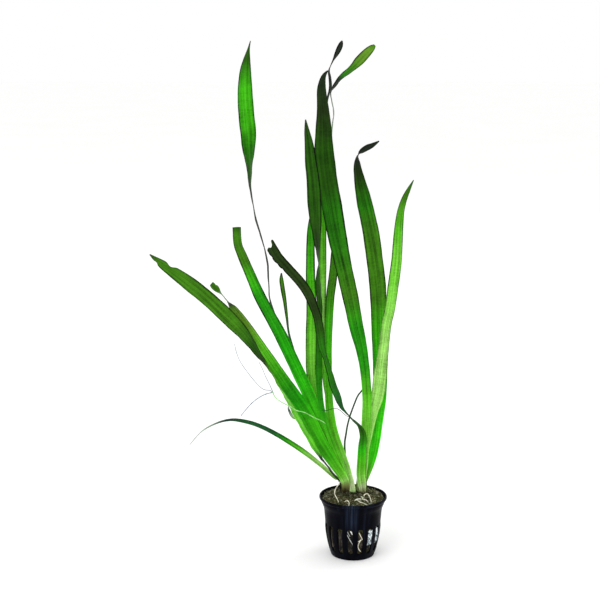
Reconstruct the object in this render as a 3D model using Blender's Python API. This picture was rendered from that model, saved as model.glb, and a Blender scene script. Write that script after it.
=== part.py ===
"""Potted vallisneria: two rosettes of strap leaves rooted in a mineral wool plug in a black net pot.

Built in metres, +Z up, with the origin at the middle of the pot's underside. Sizes in this file are
in millimetres and are turned into metres where a mesh is made. The front of the plant faces -Y.
"""

import math
import random

import bmesh
import bpy
from mathutils import Matrix, Vector

MM = 0.001

# Driving dimensions of the net pot
POT_HEIGHT = 48.0
POT_RIM_RADIUS = 26.5
POT_BASE_RADIUS = 17.0
POT_WALL = 1.2
POT_FLOOR = 1.6
FOOT_ROUND = 0.6
WALL_TOP = 36.0
WALL_FLARE = 6.9
WALL_BELLY = 1.8
COLLAR_FOOT = 39.6
COLLAR_TOP = 44.2
COLLAR_RADIUS = 24.9
LIP_FOOT = 45.6
SLOT_COUNT = 16
SLOT_WIDTH = 3.8
SLOT_BOTTOM = 6.5
SLOT_TOP = 26.0
SLOT_FIRST_ANGLE = -5.6

# Driving dimensions of the plug: the gap around it, its dome and the dents in its top
WOOL_FIT = 0.4
WOOL_EDGE_HEIGHT = 46.6
WOOL_EDGE_RADIUS = 23.0
WOOL_CROWN_RISE = 2.6
WOOL_DENTS = 0.7

# Driving dimensions of the plant
BLADE_THICKNESS = 0.8
TIP_THICKNESS = 0.55
RING_SPACING = 15.0
THREAD_RADIUS = 0.4
RUNNER_RADIUS = 0.5
STALK_RADIUS = 0.6
ROOT_RADIUS = 0.6
ROOT_LIFT = 0.3

# A blade with a turn of 0 shows its full width to someone who looks from here
VIEWPOINT = Vector((-42.0, -1000.0, 398.0))

# The two rosettes stand on these spots of the plug: across, back
LEFT_CROWN = (-7.4, 6.5)
RIGHT_CROWN = (7.6, 6.2)
CROWN_FOOT = 50.0

# Every blade is a route of stations, from its base to its tip:
# across, back, up, width of the blade, turn of the blade about its own length in degrees
DROOPING_LEAF = (
    (-9.5, 9, 57, 2.8, 0),
    (-14.5, 8.5, 60, 3.2, 0),
    (-26, 7, 70.8, 3.4, 0),
    (-40, 4, 83, 4, 0),
    (-58.5, 0, 96.5, 3.4, 0),
    (-73.5, -4, 105.5, 3, 0),
    (-85.5, -7, 110, 2.4, 0),
    (-95.5, -9, 111.5, 1.8, 0),
    (-106, -10, 109, 1.5, 0),
    (-117, -11, 103, 1.3, 0),
    (-126.5, -12, 92.5, 1, 0),
)
OUTER_LEFT_LEAF = (
    (-10.5, 5, 57.5, 4.8, 90),
    (-16.4, 3.3, 65, 5.4, 90),
    (-22.6, 1, 74.5, 6.2, 90),
    (-29.5, -2.8, 87, 7, 90),
    (-37, -4.8, 100.5, 7, 90),
    (-44.5, -7, 116, 7, 90),
    (-54.5, -9.5, 133.5, 7.2, 92),
    (-63.5, -13, 150, 7.6, 100),
    (-70.5, -15.5, 161.5, 8.4, 112),
    (-79.5, -18, 175.5, 9.8, 140),
    (-90, -21.5, 189, 11, 165),
    (-102, -25, 202, 11.2, 180),
    (-112.5, -28, 212.5, 11, 180),
    (-124.5, -31.5, 223, 10.4, 180),
    (-135.5, -35, 232, 8.2, 180),
    (-143, -37, 238, 5.8, 180),
    (-151, -39, 245, 0.8, 180),
)
FRONT_LEFT_LEAF = (
    (-6.5, 2.6, 58, 6, 0),
    (-14.5, 1.9, 71.5, 8, 0),
    (-26, 1, 91, 10.4, 0),
    (-37.5, 0, 114.5, 11.2, 0),
    (-48.5, -2, 132, 10.6, 0),
    (-59, -4, 148.5, 9.2, 0),
    (-70, -7, 166, 8.4, 0),
    (-83.5, -11, 187.5, 7.2, 10),
    (-93, -14, 201.5, 6.4, 45),
    (-99.5, -16, 210.5, 5.6, 86),
    (-103.5, -17, 215, 5.4, 150),
    (-108, -18, 219.5, 3.4, 180),
)
BLUNT_LEAF = (
    (-5.5, 5.1, 57.5, 4.8, 0),
    (-15, 4.7, 79, 6.2, 0),
    (-24.5, 4, 101, 7.4, 0),
    (-32.8, 3, 123.5, 9.2, 0),
    (-40.4, 1.5, 141, 9.6, 0),
    (-47.4, -1, 157, 9.6, 0),
    (-56.4, -3.5, 177, 9.4, 0),
    (-66, -7, 196, 8.8, 0),
    (-72.5, -9.5, 209.5, 8.6, 0),
    (-78.5, -12, 224.5, 7.6, 0),
    (-84.9, -14.5, 240.5, 6.8, 0),
    (-87.9, -16, 249.5, 6, 0),
    (-88.5, -17.5, 262, 5.6, 0),
)
TALL_LEFT_LEAF = (
    (-5.5, 9.5, 57, 4, 0),
    (-19.5, 11.1, 90, 4.8, 0),
    (-32, 13.5, 117.5, 5, 0),
    (-44.5, 17, 146.5, 5, 10),
    (-55.5, 19.5, 172.5, 5, 45),
    (-64.5, 22, 197, 5, 86),
    (-66, 24, 211, 5.4, 90),
    (-67, 26.5, 228.5, 5.8, 90),
    (-71.5, 29.5, 246.5, 6.2, 90),
    (-77, 33, 265.5, 6.6, 90),
    (-80, 36, 283.5, 7.4, 90),
    (-80.8, 38, 294.5, 8.6, 105),
    (-81.2, 39.5, 304, 10, 121),
    (-81.5, 41.5, 314, 11.6, 143),
    (-81.8, 43.5, 326.5, 12.6, 165),
    (-83, 45.5, 339.5, 12.4, 180),
    (-84.2, 48.5, 357.5, 11.6, 180),
    (-84, 51, 372, 9.4, 180),
    (-83, 52.5, 382, 6, 180),
    (-81.5, 54, 391, 2, 180),
    (-80, 55, 397.5, 0.6, 180),
)
SMALL_BUD_LEAF = (
    (-5.5, 8.4, 57.5, 3.2, 0),
    (-20.5, 9.8, 90, 3.2, 0),
    (-34.5, 11.6, 122, 3.2, 0),
    (-44.5, 14.3, 152, 3.2, 20),
    (-50, 15.5, 173, 3.2, 68),
    (-52, 17, 188, 3.6, 60),
    (-53.5, 18, 199.5, 3.8, 40),
    (-55, 19, 208.5, 3.6, 15),
    (-56, 20, 215.5, 3.2, 0),
    (-56, 20.5, 221, 1, 0),
)
DARK_UPRIGHT_LEAF = (
    (-4.5, 4, 58.5, 4.4, 180),
    (-17.5, 3.1, 92, 4.6, 180),
    (-24, 2.4, 114, 4.6, 180),
    (-26.5, 1.5, 132.5, 4.8, 180),
    (-27, 0.5, 156.5, 4.8, 175),
    (-27, -1, 180.5, 5.4, 147),
    (-27, -3, 202, 6, 129),
    (-28, -4.5, 219, 6.8, 105),
    (-28, -5.5, 233, 7.6, 90),
    (-28, -6.5, 243, 7.8, 66),
    (-29, -7, 252.5, 8.2, 46),
    (-30, -8, 265.5, 9.2, 16),
    (-31, -9.5, 281, 10.2, 0),
    (-32, -11, 296.5, 9.6, 0),
    (-33.5, -12, 309, 8.6, 0),
    (-35, -13.5, 323, 6.4, 0),
    (-36.5, -14.5, 332.5, 4, 0),
    (-37.5, -15, 341, 0.8, 0),
)
PALE_BACK_LEAF = (
    (-5, 7.4, 57.5, 4, 0),
    (-18, 8.7, 90.5, 4.8, 0),
    (-27, 10, 116, 6, 0),
    (-32.5, 10.5, 139.5, 7, 0),
    (-33.5, 12.5, 161.5, 7.4, 0),
    (-33, 16, 192.5, 7.2, 0),
    (-33.5, 19.5, 219.5, 7.2, 0),
    (-33.5, 22.5, 242.5, 6.4, 0),
    (-33, 24.5, 258, 5, 0),
    (-32, 26, 270, 1.2, 0),
)
PALE_MIDDLE_LEAF = (
    (-4.5, 10.8, 57, 3.2, 0),
    (-12.5, 12.8, 84.5, 3.4, 0),
    (-18, 15, 111.5, 3.4, 0),
    (-21.5, 17.4, 133.5, 4, 0),
    (-23.5, 18.5, 157, 4.4, 0),
    (-24, 22.5, 183.5, 4.8, 0),
    (-23.5, 26.5, 210.5, 4.8, 0),
    (-23.5, 30.5, 237.5, 5, 0),
    (-23.5, 33, 254.5, 4.2, 0),
    (-24, 35, 268, 1, 0),
)
LONG_CURLED_LEAF = (
    (-1.2, 5.6, 53, 3.6, 0),
    (-3.5, 6.3, 57, 5.8, 0),
    (-7, 6.6, 69.5, 7, 0),
    (-12.5, 6.7, 83.5, 7.6, 0),
    (-16.5, 7.6, 98.5, 7, 0),
    (-18.5, 9, 116, 6.4, 0),
    (-19.5, 11.5, 138, 5.8, 0),
    (-19.5, 14.5, 161, 5.4, 0),
    (-19, 17, 180.5, 5.6, 0),
    (-18, 21, 202, 6.6, 0),
    (-15.5, 24, 222.5, 6.6, 0),
    (-14, 28, 245.5, 5.8, 0),
    (-15, 32.5, 272.5, 5.2, 20),
    (-17, 37, 297.5, 4.8, 60),
    (-17.5, 41, 318, 4.4, 88),
    (-16.5, 44, 334, 4.4, 90),
    (-15.5, 45.5, 343, 4.4, 90),
    (-17, 47, 351, 4.6, 90),
    (-18, 48.5, 358, 5.2, 88),
    (-15.5, 49, 362.5, 5.6, 74),
    (-10.5, 50.5, 369, 6.4, 61),
    (-1.5, 52.5, 376.5, 7, 40),
    (5, 54, 383, 7.6, 15),
    (10.5, 56, 388.5, 6.6, 0),
    (16.5, 58, 394, 1.2, 0),
)
DARK_CURLED_LEAF = (
    (8, 8.4, 55, 3, 0),
    (10, 10, 90, 3.4, 0),
    (9.5, 13, 121.5, 3.4, 0),
    (6, 17, 159, 3.4, 0),
    (-2, 23, 199, 3.4, 0),
    (-10, 29.5, 237.5, 3.4, 0),
    (-17.5, 36.5, 276, 3.4, 0),
    (-22, 43, 314, 3.4, 0),
    (-23, 49.5, 341, 3.4, 30),
    (-20, 53.5, 353.5, 3.8, 74),
    (-18, 55.5, 361.5, 3.8, 76),
    (-18, 57, 369, 3.8, 76),
    (-19, 58.5, 374, 3.8, 78),
    (-17.5, 59.5, 378.5, 3.8, 90),
    (-15.5, 60.5, 382.5, 4.4, 75),
    (-13, 61.5, 387.5, 5.2, 45),
    (-10.5, 62.5, 393, 4.8, 10),
    (-9, 63.5, 397.5, 2.4, 0),
)
BROAD_MIDDLE_LEAF = (
    (7.5, 4.6, 55, 5.2, 0),
    (9, 4.5, 81.5, 6.6, 0),
    (10, 4.6, 104.5, 7.2, 0),
    (10.5, 4.8, 123.5, 7.4, 0),
    (9, 5.1, 144.5, 7.4, 0),
    (6, 5.5, 163.5, 9, 0),
    (1.5, 6, 182.5, 11, 0),
    (-2.5, 6, 202.5, 12, 0),
    (-10, 6, 236, 13, 0),
    (-14, 6, 255.5, 14.8, 0),
    (-17.5, 5.5, 275, 15.2, 0),
    (-21, 5, 294.5, 15.2, 0),
    (-23.5, 4, 315.5, 14.6, 0),
    (-24, 3, 333, 12, 0),
    (-24.5, 2.5, 347, 9, 0),
    (-25.6, 1.5, 360, 7.2, 0),
    (-25.4, 1, 366, 5.6, 0),
    (-24.4, 1, 371, 3.8, 0),
    (-22.8, 0.8, 374, 2.2, 0),
    (-21, 0.5, 376, 0.8, 0),
)
BENT_TIP_LEAF = (
    (8.5, 6.9, 55, 4.4, 0),
    (14, 7.5, 72.5, 6.8, 0),
    (17.5, 8.5, 89.5, 7.6, 0),
    (19.5, 10, 107.5, 8.6, 0),
    (21, 11.5, 125.5, 10, 0),
    (21, 13.5, 144.5, 11.2, 0),
    (20, 17, 176.5, 11.8, 0),
    (19, 20.5, 206.5, 12.8, 0),
    (17, 23, 225.5, 12.8, 0),
    (14.5, 25, 244.5, 12.8, 0),
    (11.5, 27, 260.5, 12.4, 0),
    (8, 29, 276, 11.6, 0),
    (5, 30.5, 289, 9.2, 0),
    (3, 32, 299.5, 7, 25),
    (2.5, 33, 306, 5.6, 50),
    (3, 33.5, 311, 5, 84),
    (6, 34, 314, 5, 132),
    (10, 35, 316.5, 5, 150),
    (14.5, 36, 318.5, 3.8, 150),
    (19.5, 37, 321.5, 1, 150),
)
PALE_RIGHT_LEAF = (
    (7.2, 5.8, 55, 4.4, 0),
    (9, 6, 79.5, 6.2, 0),
    (11.5, 6.3, 96.5, 7.6, 0),
    (15, 6.4, 113.5, 8.6, 0),
    (18.5, 6.2, 126.5, 9.8, 0),
    (20.5, 5, 142.5, 10.4, 0),
    (22.5, 3, 163, 8.2, 0),
    (24.5, -0.5, 184.5, 7.8, 0),
    (27, -3.5, 199.5, 8, 0),
    (29.5, -7.5, 222, 8.2, 0),
    (31, -10.5, 238.5, 7.8, 0),
    (31.5, -14, 255, 7, 0),
    (32, -16, 265.5, 6.2, 0),
    (33, -18, 274.5, 5.2, 0),
    (35, -19.5, 282.5, 3.8, 0),
    (38, -21, 290, 2.2, 0),
    (41.5, -23, 297.5, 0.6, 0),
)
DARK_CROSSING_LEAF = (
    (4.8, 1.2, 50, 8.4, 0),
    (5.8, 2.4, 57, 7.2, 0),
    (6, 2.8, 65, 6.6, 0),
    (6.5, 2.5, 75.5, 6.8, 0),
    (7, 1.8, 87.5, 6.2, 0),
    (7.5, 1, 96, 5.4, 10),
    (5, 0, 103, 5, 50),
    (1.5, -1, 107, 4.4, 66),
    (-3, -2, 112, 4.4, 86),
    (-6.5, -3, 116.5, 4.4, 105),
    (-10, -4.5, 122, 5, 135),
    (-13.5, -6, 131, 5.6, 160),
    (-16.5, -7.5, 139, 5.6, 165),
    (-19, -9, 149.5, 5.6, 140),
    (-22, -10.5, 159, 5.6, 128),
    (-25, -12, 169.5, 6.4, 150),
    (-26.5, -14, 181.5, 6.6, 170),
    (-28.5, -16, 193.5, 6.4, 180),
    (-32, -17, 203.5, 6.6, 180),
    (-36, -18.5, 213, 7, 180),
    (-42, -20, 222, 7.2, 180),
    (-49.5, -21.5, 230.5, 7.2, 180),
    (-57.5, -23, 239.5, 7, 180),
    (-60.5, -23.5, 244.5, 6.8, 180),
    (-63, -24.5, 248.5, 5.8, 180),
    (-62, -25, 253.5, 1.6, 180),
)
PLANTLET_LEAF = (
    (-50.5, -13.4, 122.6, 1.2, 0),
    (-49.6, -13.4, 119.4, 1.8, 0),
    (-48, -13.2, 116, 2, 0),
    (-45.8, -13, 113.2, 1, 0),
)

# Threads are routes of points: across, back, up. A root's up is counted from where it lies on the plug
STALK = (
    (-4, 8, 65.5),
    (-6, 8.2, 77),
    (-6.5, 8.4, 87.5),
    (-5.5, 8.6, 95),
    (-4.5, 8.8, 101.5),
    (-2.5, 9, 109.5),
    (1, 9.4, 119.5),
    (3.5, 9.7, 125.5),
    (6.5, 10, 129.5),
    (10, 10.2, 133.5),
)
RUNNER = (
    (-20, 1.2, 104),
    (-25, -1.6, 108.5),
    (-31, -5.4, 112.5),
    (-38, -9.4, 117.5),
    (-44, -11.8, 119.7),
    (-49.5, -12.2, 123.2),
    (-56, -12, 126.6),
    (-60.5, -11, 130),
    (-62.5, -10, 134),
)
CROSSING_THREAD = (
    (-24, -1.6, 116.5),
    (-20.5, -1.8, 117),
    (-17, -2.4, 118.5),
    (-12.5, -3, 118.5),
    (-9, -3.4, 116),
    (-5.8, -2.9, 113),
)
ROOTLET_UP = (
    (-65, -8.5, 134.8),
    (-69, -9, 135.5),
    (-73, -10, 138.8),
    (-79, -12, 146.5),
    (-86.5, -14, 158),
    (-89.5, -15, 165.5),
    (-91, -16, 173),
)
ROOTLET_SHORT = (
    (-63.4, -9, 136.2),
    (-65.5, -9.6, 141),
    (-68, -10.4, 146.5),
    (-70.5, -11.4, 153),
    (-73, -12.4, 158.5),
)
ROOTLET_DOWN = (
    (-64.5, -8, 132.6),
    (-69, -8, 131.2),
    (-73.5, -8, 128.6),
    (-78.5, -8, 124.6),
    (-83.5, -8, 119),
    (-87, -8, 114.5),
)
ROOT_LEFT = (
    (-11.9, 5.2, 3.6),
    (-13.4, 4.8, 0.8),
    (-14.4, 1, 0),
    (-14.2, -5, 0),
    (-13.4, -11, 0),
    (-11.6, -17.6, 0),
)
ROOT_FRONT = (
    (-8, -17.5, 0),
    (-5.6, -16.8, 0),
    (-4.2, -19, 0),
    (-4.3, -22, 0),
)
ROOT_RIGHT = (
    (-1, -18.5, 0),
    (0.8, -15.4, 0),
    (3.5, -13.2, 0),
    (6.2, -13.5, 0),
    (9, -15.2, 0),
    (11, -19, 0),
)
ROOT_LOOP = (
    (5.4, -7.8, 0),
    (6.4, -3.8, 0),
    (9.2, -2, 0),
    (11.6, -5.5, 0),
    (13, -11.5, 0),
    (13.4, -17.5, 0),
)


def clear_scene():
    for item in list(bpy.data.objects):
        bpy.data.objects.remove(item, do_unlink=True)


def material(name, colour, roughness, metallic=0.0):
    made = bpy.data.materials.new(name)
    made.use_nodes = True
    surface = made.node_tree.nodes["Principled BSDF"]
    surface.inputs["Base Color"].default_value = (*colour, 1.0)
    surface.inputs["Roughness"].default_value = roughness
    surface.inputs["Metallic"].default_value = metallic
    made.diffuse_color = (*colour, 1.0)
    return made


def add_object(name, data, look):
    item = bpy.data.objects.new(name, data)
    item.data.materials.append(look)
    bpy.context.scene.collection.objects.link(item)
    return item


def mesh_object(name, bm, look, smooth_angle=None):
    bmesh.ops.recalc_face_normals(bm, faces=bm.faces)
    data = bpy.data.meshes.new(name)
    bm.to_mesh(data)
    bm.free()
    if smooth_angle is not None:
        data.shade_smooth()
        data.set_sharp_from_angle(angle=math.radians(smooth_angle))
    return add_object(name, data, look)


def between(before, start, end, after, t):
    """Catmull-Rom value at t from start (0) to end (1)."""
    bend = 2 * before - 5 * start + 4 * end - after
    tail = 3 * start - before - 3 * end + after
    return 0.5 * (2 * start + (end - before) * t + bend * t**2 + tail * t**3)


def smooth_route(stations, spacing):
    """The stations with more of them put in between, on one smooth curve, no more than about spacing apart."""
    found = []
    for i in range(len(stations) - 1):
        start, end = stations[i], stations[i + 1]
        before = stations[max(i - 1, 0)]
        after = stations[min(i + 2, len(stations) - 1)]
        steps = max(1, round(math.dist(start[:3], end[:3]) / spacing))
        for k in range(steps):
            t = k / steps
            found.append([between(*values, t) for values in zip(before, start, end, after)])
    found.append(list(stations[-1]))
    return found


def tangent_at(points, i):
    ahead = points[min(i + 1, len(points) - 1)]
    behind = points[max(i - 1, 0)]
    return (ahead - behind).normalized()


def blade(name, stations, look, spacing=RING_SPACING):
    """One strap leaf: rings of six corners, thick in the middle and sharp at both edges, joined end to end."""
    route = smooth_route(stations, spacing)
    points = [Vector(row[:3]) for row in route]
    bm = bmesh.new()
    rings = []
    for i, point in enumerate(points):
        width, turn = max(route[i][3], 0.4), math.radians(route[i][4])
        along = tangent_at(points, i)
        across = along.cross(VIEWPOINT - point).normalized()
        face = across.cross(along)
        side = math.cos(turn) * across + math.sin(turn) * face
        normal = side.cross(along)
        share = i / (len(points) - 1)
        half_thick = 0.5 * (BLADE_THICKNESS + (TIP_THICKNESS - BLADE_THICKNESS) * share)
        corners = ((-1, 0), (-0.5, 1), (0.5, 1), (1, 0), (0.5, -1), (-0.5, -1))
        ring = []
        for s, n in corners:
            place = point + side * (0.5 * width * s) + normal * (half_thick * n)
            ring.append(bm.verts.new(place * MM))
        rings.append(ring)
    count = len(rings[0])
    for lower, upper in zip(rings, rings[1:]):
        for k in range(count):
            a, b, c, d = lower[k], lower[(k + 1) % count], upper[(k + 1) % count], upper[k]
            # The front and the back are split along the same diagonal, so a turning blade never crosses itself
            halves = ((a, b, c), (a, c, d)) if k < count // 2 else ((a, b, d), (b, c, d))
            for half in halves:
                bm.faces.new(half)
    bm.faces.new(rings[0])
    bm.faces.new(rings[-1])
    return mesh_object(name, bm, look, smooth_angle=50)


def thread(name, route, radius, look, spacing=4.0):
    """A round thread or root: a curve with a bevel and filled caps."""
    points = smooth_route(route, spacing)
    data = bpy.data.curves.new(name, "CURVE")
    data.dimensions = "3D"
    data.bevel_depth = radius * MM
    data.bevel_resolution = 2
    data.use_fill_caps = True
    spline = data.splines.new("POLY")
    spline.points.add(len(points) - 1)
    for target, point in zip(spline.points, points):
        target.co = (*(Vector(point[:3]) * MM), 1.0)
    return add_object(name, data, look)


def turned(outline, segments):
    """A body turned about Z from an outline of (radius, height) that starts and ends on the axis."""
    bm = bmesh.new()
    chain = [bm.verts.new((radius * MM, 0.0, height * MM)) for radius, height in outline]
    edges = [bm.edges.new(pair) for pair in zip(chain, chain[1:])]
    bmesh.ops.spin(
        bm, geom=chain + edges, cent=(0, 0, 0), axis=(0, 0, 1), angle=math.tau, steps=segments
    )
    bmesh.ops.remove_doubles(bm, verts=bm.verts, dist=0.00001)
    return bm


def outer_radius(height):
    """Radius of the pot's outer wall below its collar: it flares upwards in a slight curve."""
    share = height / WALL_TOP
    return POT_BASE_RADIUS + FOOT_ROUND + WALL_FLARE * share - WALL_BELLY * share * share


def inner_outline():
    """The pot's inner face from its floor up to its mouth, as (radius, height)."""
    corner = (outer_radius(4.0) - POT_WALL - 0.2, POT_FLOOR)
    wall = [(outer_radius(h) - POT_WALL, h) for h in (9.0, 17.0, SLOT_TOP + 0.8, WALL_TOP)]
    collar = [(COLLAR_RADIUS - 2.9, COLLAR_FOOT + 0.6), (COLLAR_RADIUS - 1.3, COLLAR_TOP - 0.8)]
    mouth = [(COLLAR_RADIUS - 1.0, LIP_FOOT + 0.4), (COLLAR_RADIUS - 0.3, POT_HEIGHT)]
    return [corner] + wall + collar + mouth


def slot_cutter():
    """One box for each slot, all in one mesh, set around the pot's wall."""
    bm = bmesh.new()
    inner, outer = 12.0, POT_RIM_RADIUS
    for k in range(SLOT_COUNT):
        angle = math.radians(SLOT_FIRST_ANGLE + k * 360.0 / SLOT_COUNT)
        made = bmesh.ops.create_cube(bm, size=1.0)["verts"]
        size = Vector((SLOT_WIDTH, outer - inner, SLOT_TOP - SLOT_BOTTOM)) * MM
        bmesh.ops.scale(bm, vec=size, verts=made)
        middle = Vector((0, -(outer + inner) / 2, (SLOT_TOP + SLOT_BOTTOM) / 2)) * MM
        bmesh.ops.translate(bm, vec=middle, verts=made)
        bmesh.ops.rotate(bm, cent=(0, 0, 0), matrix=Matrix.Rotation(angle, 3, "Z"), verts=made)
    return bm


def make_pot(look):
    """A thin net pot: flat floor, slotted lower wall, collar and rolled lip."""
    foot = [(0.0, 0.0), (POT_BASE_RADIUS - FOOT_ROUND, 0.0), (POT_BASE_RADIUS, FOOT_ROUND)]
    wall = [(outer_radius(h), h) for h in (4.0, 9.0, 17.0, SLOT_TOP + 0.8, WALL_TOP)]
    collar = [(COLLAR_RADIUS - 1.8, COLLAR_FOOT), (COLLAR_RADIUS - 0.2, COLLAR_TOP - 1.4)]
    collar.append((COLLAR_RADIUS, COLLAR_TOP))
    lip = [(POT_RIM_RADIUS - 0.3, LIP_FOOT), (POT_RIM_RADIUS, LIP_FOOT + 1.0)]
    lip.append((POT_RIM_RADIUS - 0.2, POT_HEIGHT))
    outline = foot + wall + collar + lip + inner_outline()[::-1] + [(0.0, POT_FLOOR)]
    pot = mesh_object("net_pot", turned(outline, SLOT_COUNT * 3), look, smooth_angle=40)
    cutter = mesh_object("slot_cutter", slot_cutter(), look)
    cutter.hide_render = True
    cutter.display_type = "WIRE"
    cut = pot.modifiers.new("Slots", "BOOLEAN")
    cut.operation = "DIFFERENCE"
    cut.object = cutter
    return pot


def wool_height(radius):
    """Height of the plug's smooth top at this distance from the pot's axis."""
    return WOOL_EDGE_HEIGHT + WOOL_CROWN_RISE * (1.0 - (radius / WOOL_EDGE_RADIUS) ** 2)


def make_wool(look):
    """The plug fills the pot, and its top is a low dome with dents near its edge."""
    side = [(radius - WOOL_FIT, height) for radius, height in inner_outline() if height < WOOL_EDGE_HEIGHT]
    under = POT_FLOOR + WOOL_FIT
    side[0] = (side[0][0], under)
    top = [(radius, wool_height(radius)) for radius in (22.4, 19.5, 16.0, 12.5, 9.0, 5.0, 0.0)]
    bm = turned([(0.0, under)] + side + top, 40)
    chance = random.Random(7)
    for vert in bm.verts:
        radius = math.hypot(vert.co.x, vert.co.y) / MM
        if vert.co.z > WOOL_EDGE_HEIGHT * MM and radius > 12.0:
            vert.co.z -= chance.uniform(0.0, WOOL_DENTS) * MM
    return mesh_object("rock_wool_plug", bm, look, smooth_angle=60)


def make_crown(name, place, radii, height, look):
    """The short stem of a rosette: a squat bulb, flat where it stands on the plug."""
    outline = [(0.0, 0.0)]
    for degrees in (-30, 0, 30, 60):
        angle = math.radians(degrees)
        outline.append((math.cos(angle), (math.sin(angle) + 0.5) / 1.5))
    outline.append((0.0, 1.0))
    bm = turned([(radius / MM, up / MM) for radius, up in outline], 16)
    bmesh.ops.scale(bm, vec=Vector((*radii, height)) * MM, verts=bm.verts)
    crown = mesh_object(name, bm, look, smooth_angle=60)
    crown.location = Vector((*place, CROWN_FOOT)) * MM
    return crown


def on_plug(route):
    """A root's route with its heights counted from the plug's top, so that the root just clears it."""
    return [(x, y, wool_height(math.hypot(x, y)) + ROOT_RADIUS + ROOT_LIFT + up) for x, y, up in route]


def main():
    clear_scene()
    black = material("black_plastic", (0.012, 0.013, 0.016), 0.35)
    wool = material("brown_wool", (0.13, 0.10, 0.05), 0.95)
    sheath = material("brown_sheath", (0.20, 0.17, 0.06), 0.7)
    pale_base = material("pale_stem", (0.50, 0.62, 0.28), 0.5)
    bright = material("bright_green_leaf", (0.10, 0.36, 0.02), 0.4)
    pale = material("pale_green_leaf", (0.30, 0.55, 0.09), 0.4)
    dark = material("dark_green_leaf", (0.03, 0.10, 0.012), 0.4)
    grey = material("grey_green_thread", (0.30, 0.38, 0.27), 0.5)
    cream = material("cream_root", (0.72, 0.64, 0.45), 0.6)

    make_pot(black)
    make_wool(wool)
    make_crown("left_crown", LEFT_CROWN, (3.6, 4.6), 5.2, sheath)
    make_crown("right_crown", RIGHT_CROWN, (3.2, 3.3), 3, pale_base)

    blade("leaf_drooping", DROOPING_LEAF, bright)
    blade("leaf_outer_left", OUTER_LEFT_LEAF, bright)
    blade("leaf_front_left", FRONT_LEFT_LEAF, bright)
    blade("leaf_blunt_tip", BLUNT_LEAF, bright)
    blade("leaf_tall_left", TALL_LEFT_LEAF, bright)
    blade("leaf_small_bud", SMALL_BUD_LEAF, bright)
    blade("leaf_dark_upright", DARK_UPRIGHT_LEAF, dark, spacing=10.0)
    blade("leaf_pale_back", PALE_BACK_LEAF, pale)
    blade("leaf_pale_middle", PALE_MIDDLE_LEAF, pale)
    blade("leaf_long_curled", LONG_CURLED_LEAF, bright)
    blade("leaf_dark_curled", DARK_CURLED_LEAF, dark)
    blade("leaf_broad_middle", BROAD_MIDDLE_LEAF, bright)
    blade("leaf_bent_tip", BENT_TIP_LEAF, dark)
    blade("leaf_pale_right", PALE_RIGHT_LEAF, pale)
    blade("leaf_dark_crossing", DARK_CROSSING_LEAF, dark)
    blade("leaf_plantlet", PLANTLET_LEAF, grey, spacing=4.0)

    thread("thin_stalk", STALK, STALK_RADIUS, dark)
    thread("runner", RUNNER, RUNNER_RADIUS, pale)
    thread("runner_branch", CROSSING_THREAD, THREAD_RADIUS, pale)
    thread("rootlet_up", ROOTLET_UP, THREAD_RADIUS, grey)
    thread("rootlet_short", ROOTLET_SHORT, THREAD_RADIUS, grey)
    thread("rootlet_down", ROOTLET_DOWN, THREAD_RADIUS, grey)
    thread("root_left", on_plug(ROOT_LEFT), ROOT_RADIUS, cream, spacing=3.0)
    thread("root_front", on_plug(ROOT_FRONT), ROOT_RADIUS, cream, spacing=3.0)
    thread("root_right", on_plug(ROOT_RIGHT), ROOT_RADIUS, cream, spacing=3.0)
    thread("root_loop", on_plug(ROOT_LOOP), ROOT_RADIUS, cream, spacing=3.0)


main()
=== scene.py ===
# %% [markdown]
# A potted vallisneria, dressed for the camera
#
# The real thing is an aquarium plant as a shop sells it: two rosettes of long strap leaves, rooted in a
# plug of mineral wool, in a small black net pot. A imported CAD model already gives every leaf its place
# and its size. This lesson puts a finely modelled piece over each of those plain solids and paints it
# with procedural materials, so that the plant looks alive and still measures what the CAD says.

# %% The frame and the tools
import math
import random

import bmesh
import bpy
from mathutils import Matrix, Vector


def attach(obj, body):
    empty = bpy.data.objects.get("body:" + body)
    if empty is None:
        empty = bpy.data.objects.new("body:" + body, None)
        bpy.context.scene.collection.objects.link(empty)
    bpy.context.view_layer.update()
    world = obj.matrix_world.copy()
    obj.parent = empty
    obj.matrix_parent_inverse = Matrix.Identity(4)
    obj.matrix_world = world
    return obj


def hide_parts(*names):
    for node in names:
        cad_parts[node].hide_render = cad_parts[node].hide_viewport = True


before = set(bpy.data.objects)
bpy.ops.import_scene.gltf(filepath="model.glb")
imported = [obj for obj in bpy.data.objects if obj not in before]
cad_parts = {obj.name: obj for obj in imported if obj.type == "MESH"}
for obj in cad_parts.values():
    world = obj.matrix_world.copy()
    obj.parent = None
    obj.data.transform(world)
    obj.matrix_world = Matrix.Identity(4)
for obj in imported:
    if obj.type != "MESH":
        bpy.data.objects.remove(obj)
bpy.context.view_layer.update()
MM = 0.001

# %% [markdown]
# Camera
#
# The photo looks slightly down on the plant from about a metre away, with a long lens. The pot's ellipse
# gives the angle: 11 degrees. The camera stands at that place, so that the render can be laid beside the
# photo. The Standard view keeps the greens as bright as they are mixed.

# %% Camera
CAMERA_PLACE = (-0.0416, -1.0, 0.398)
CAMERA_DOWN = 11.0
LENS = 80.2
CLIP_END = 60

bpy.ops.object.camera_add(location=CAMERA_PLACE, rotation=(math.radians(90 - CAMERA_DOWN), 0, 0))
camera = bpy.context.object
camera.name = "camera"
camera.data.lens = LENS
camera.data.clip_end = CLIP_END
bpy.context.scene.camera = camera
bpy.context.scene.view_settings.view_transform = "Standard"
print("camera at", CAMERA_PLACE, "lens", LENS)

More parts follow.
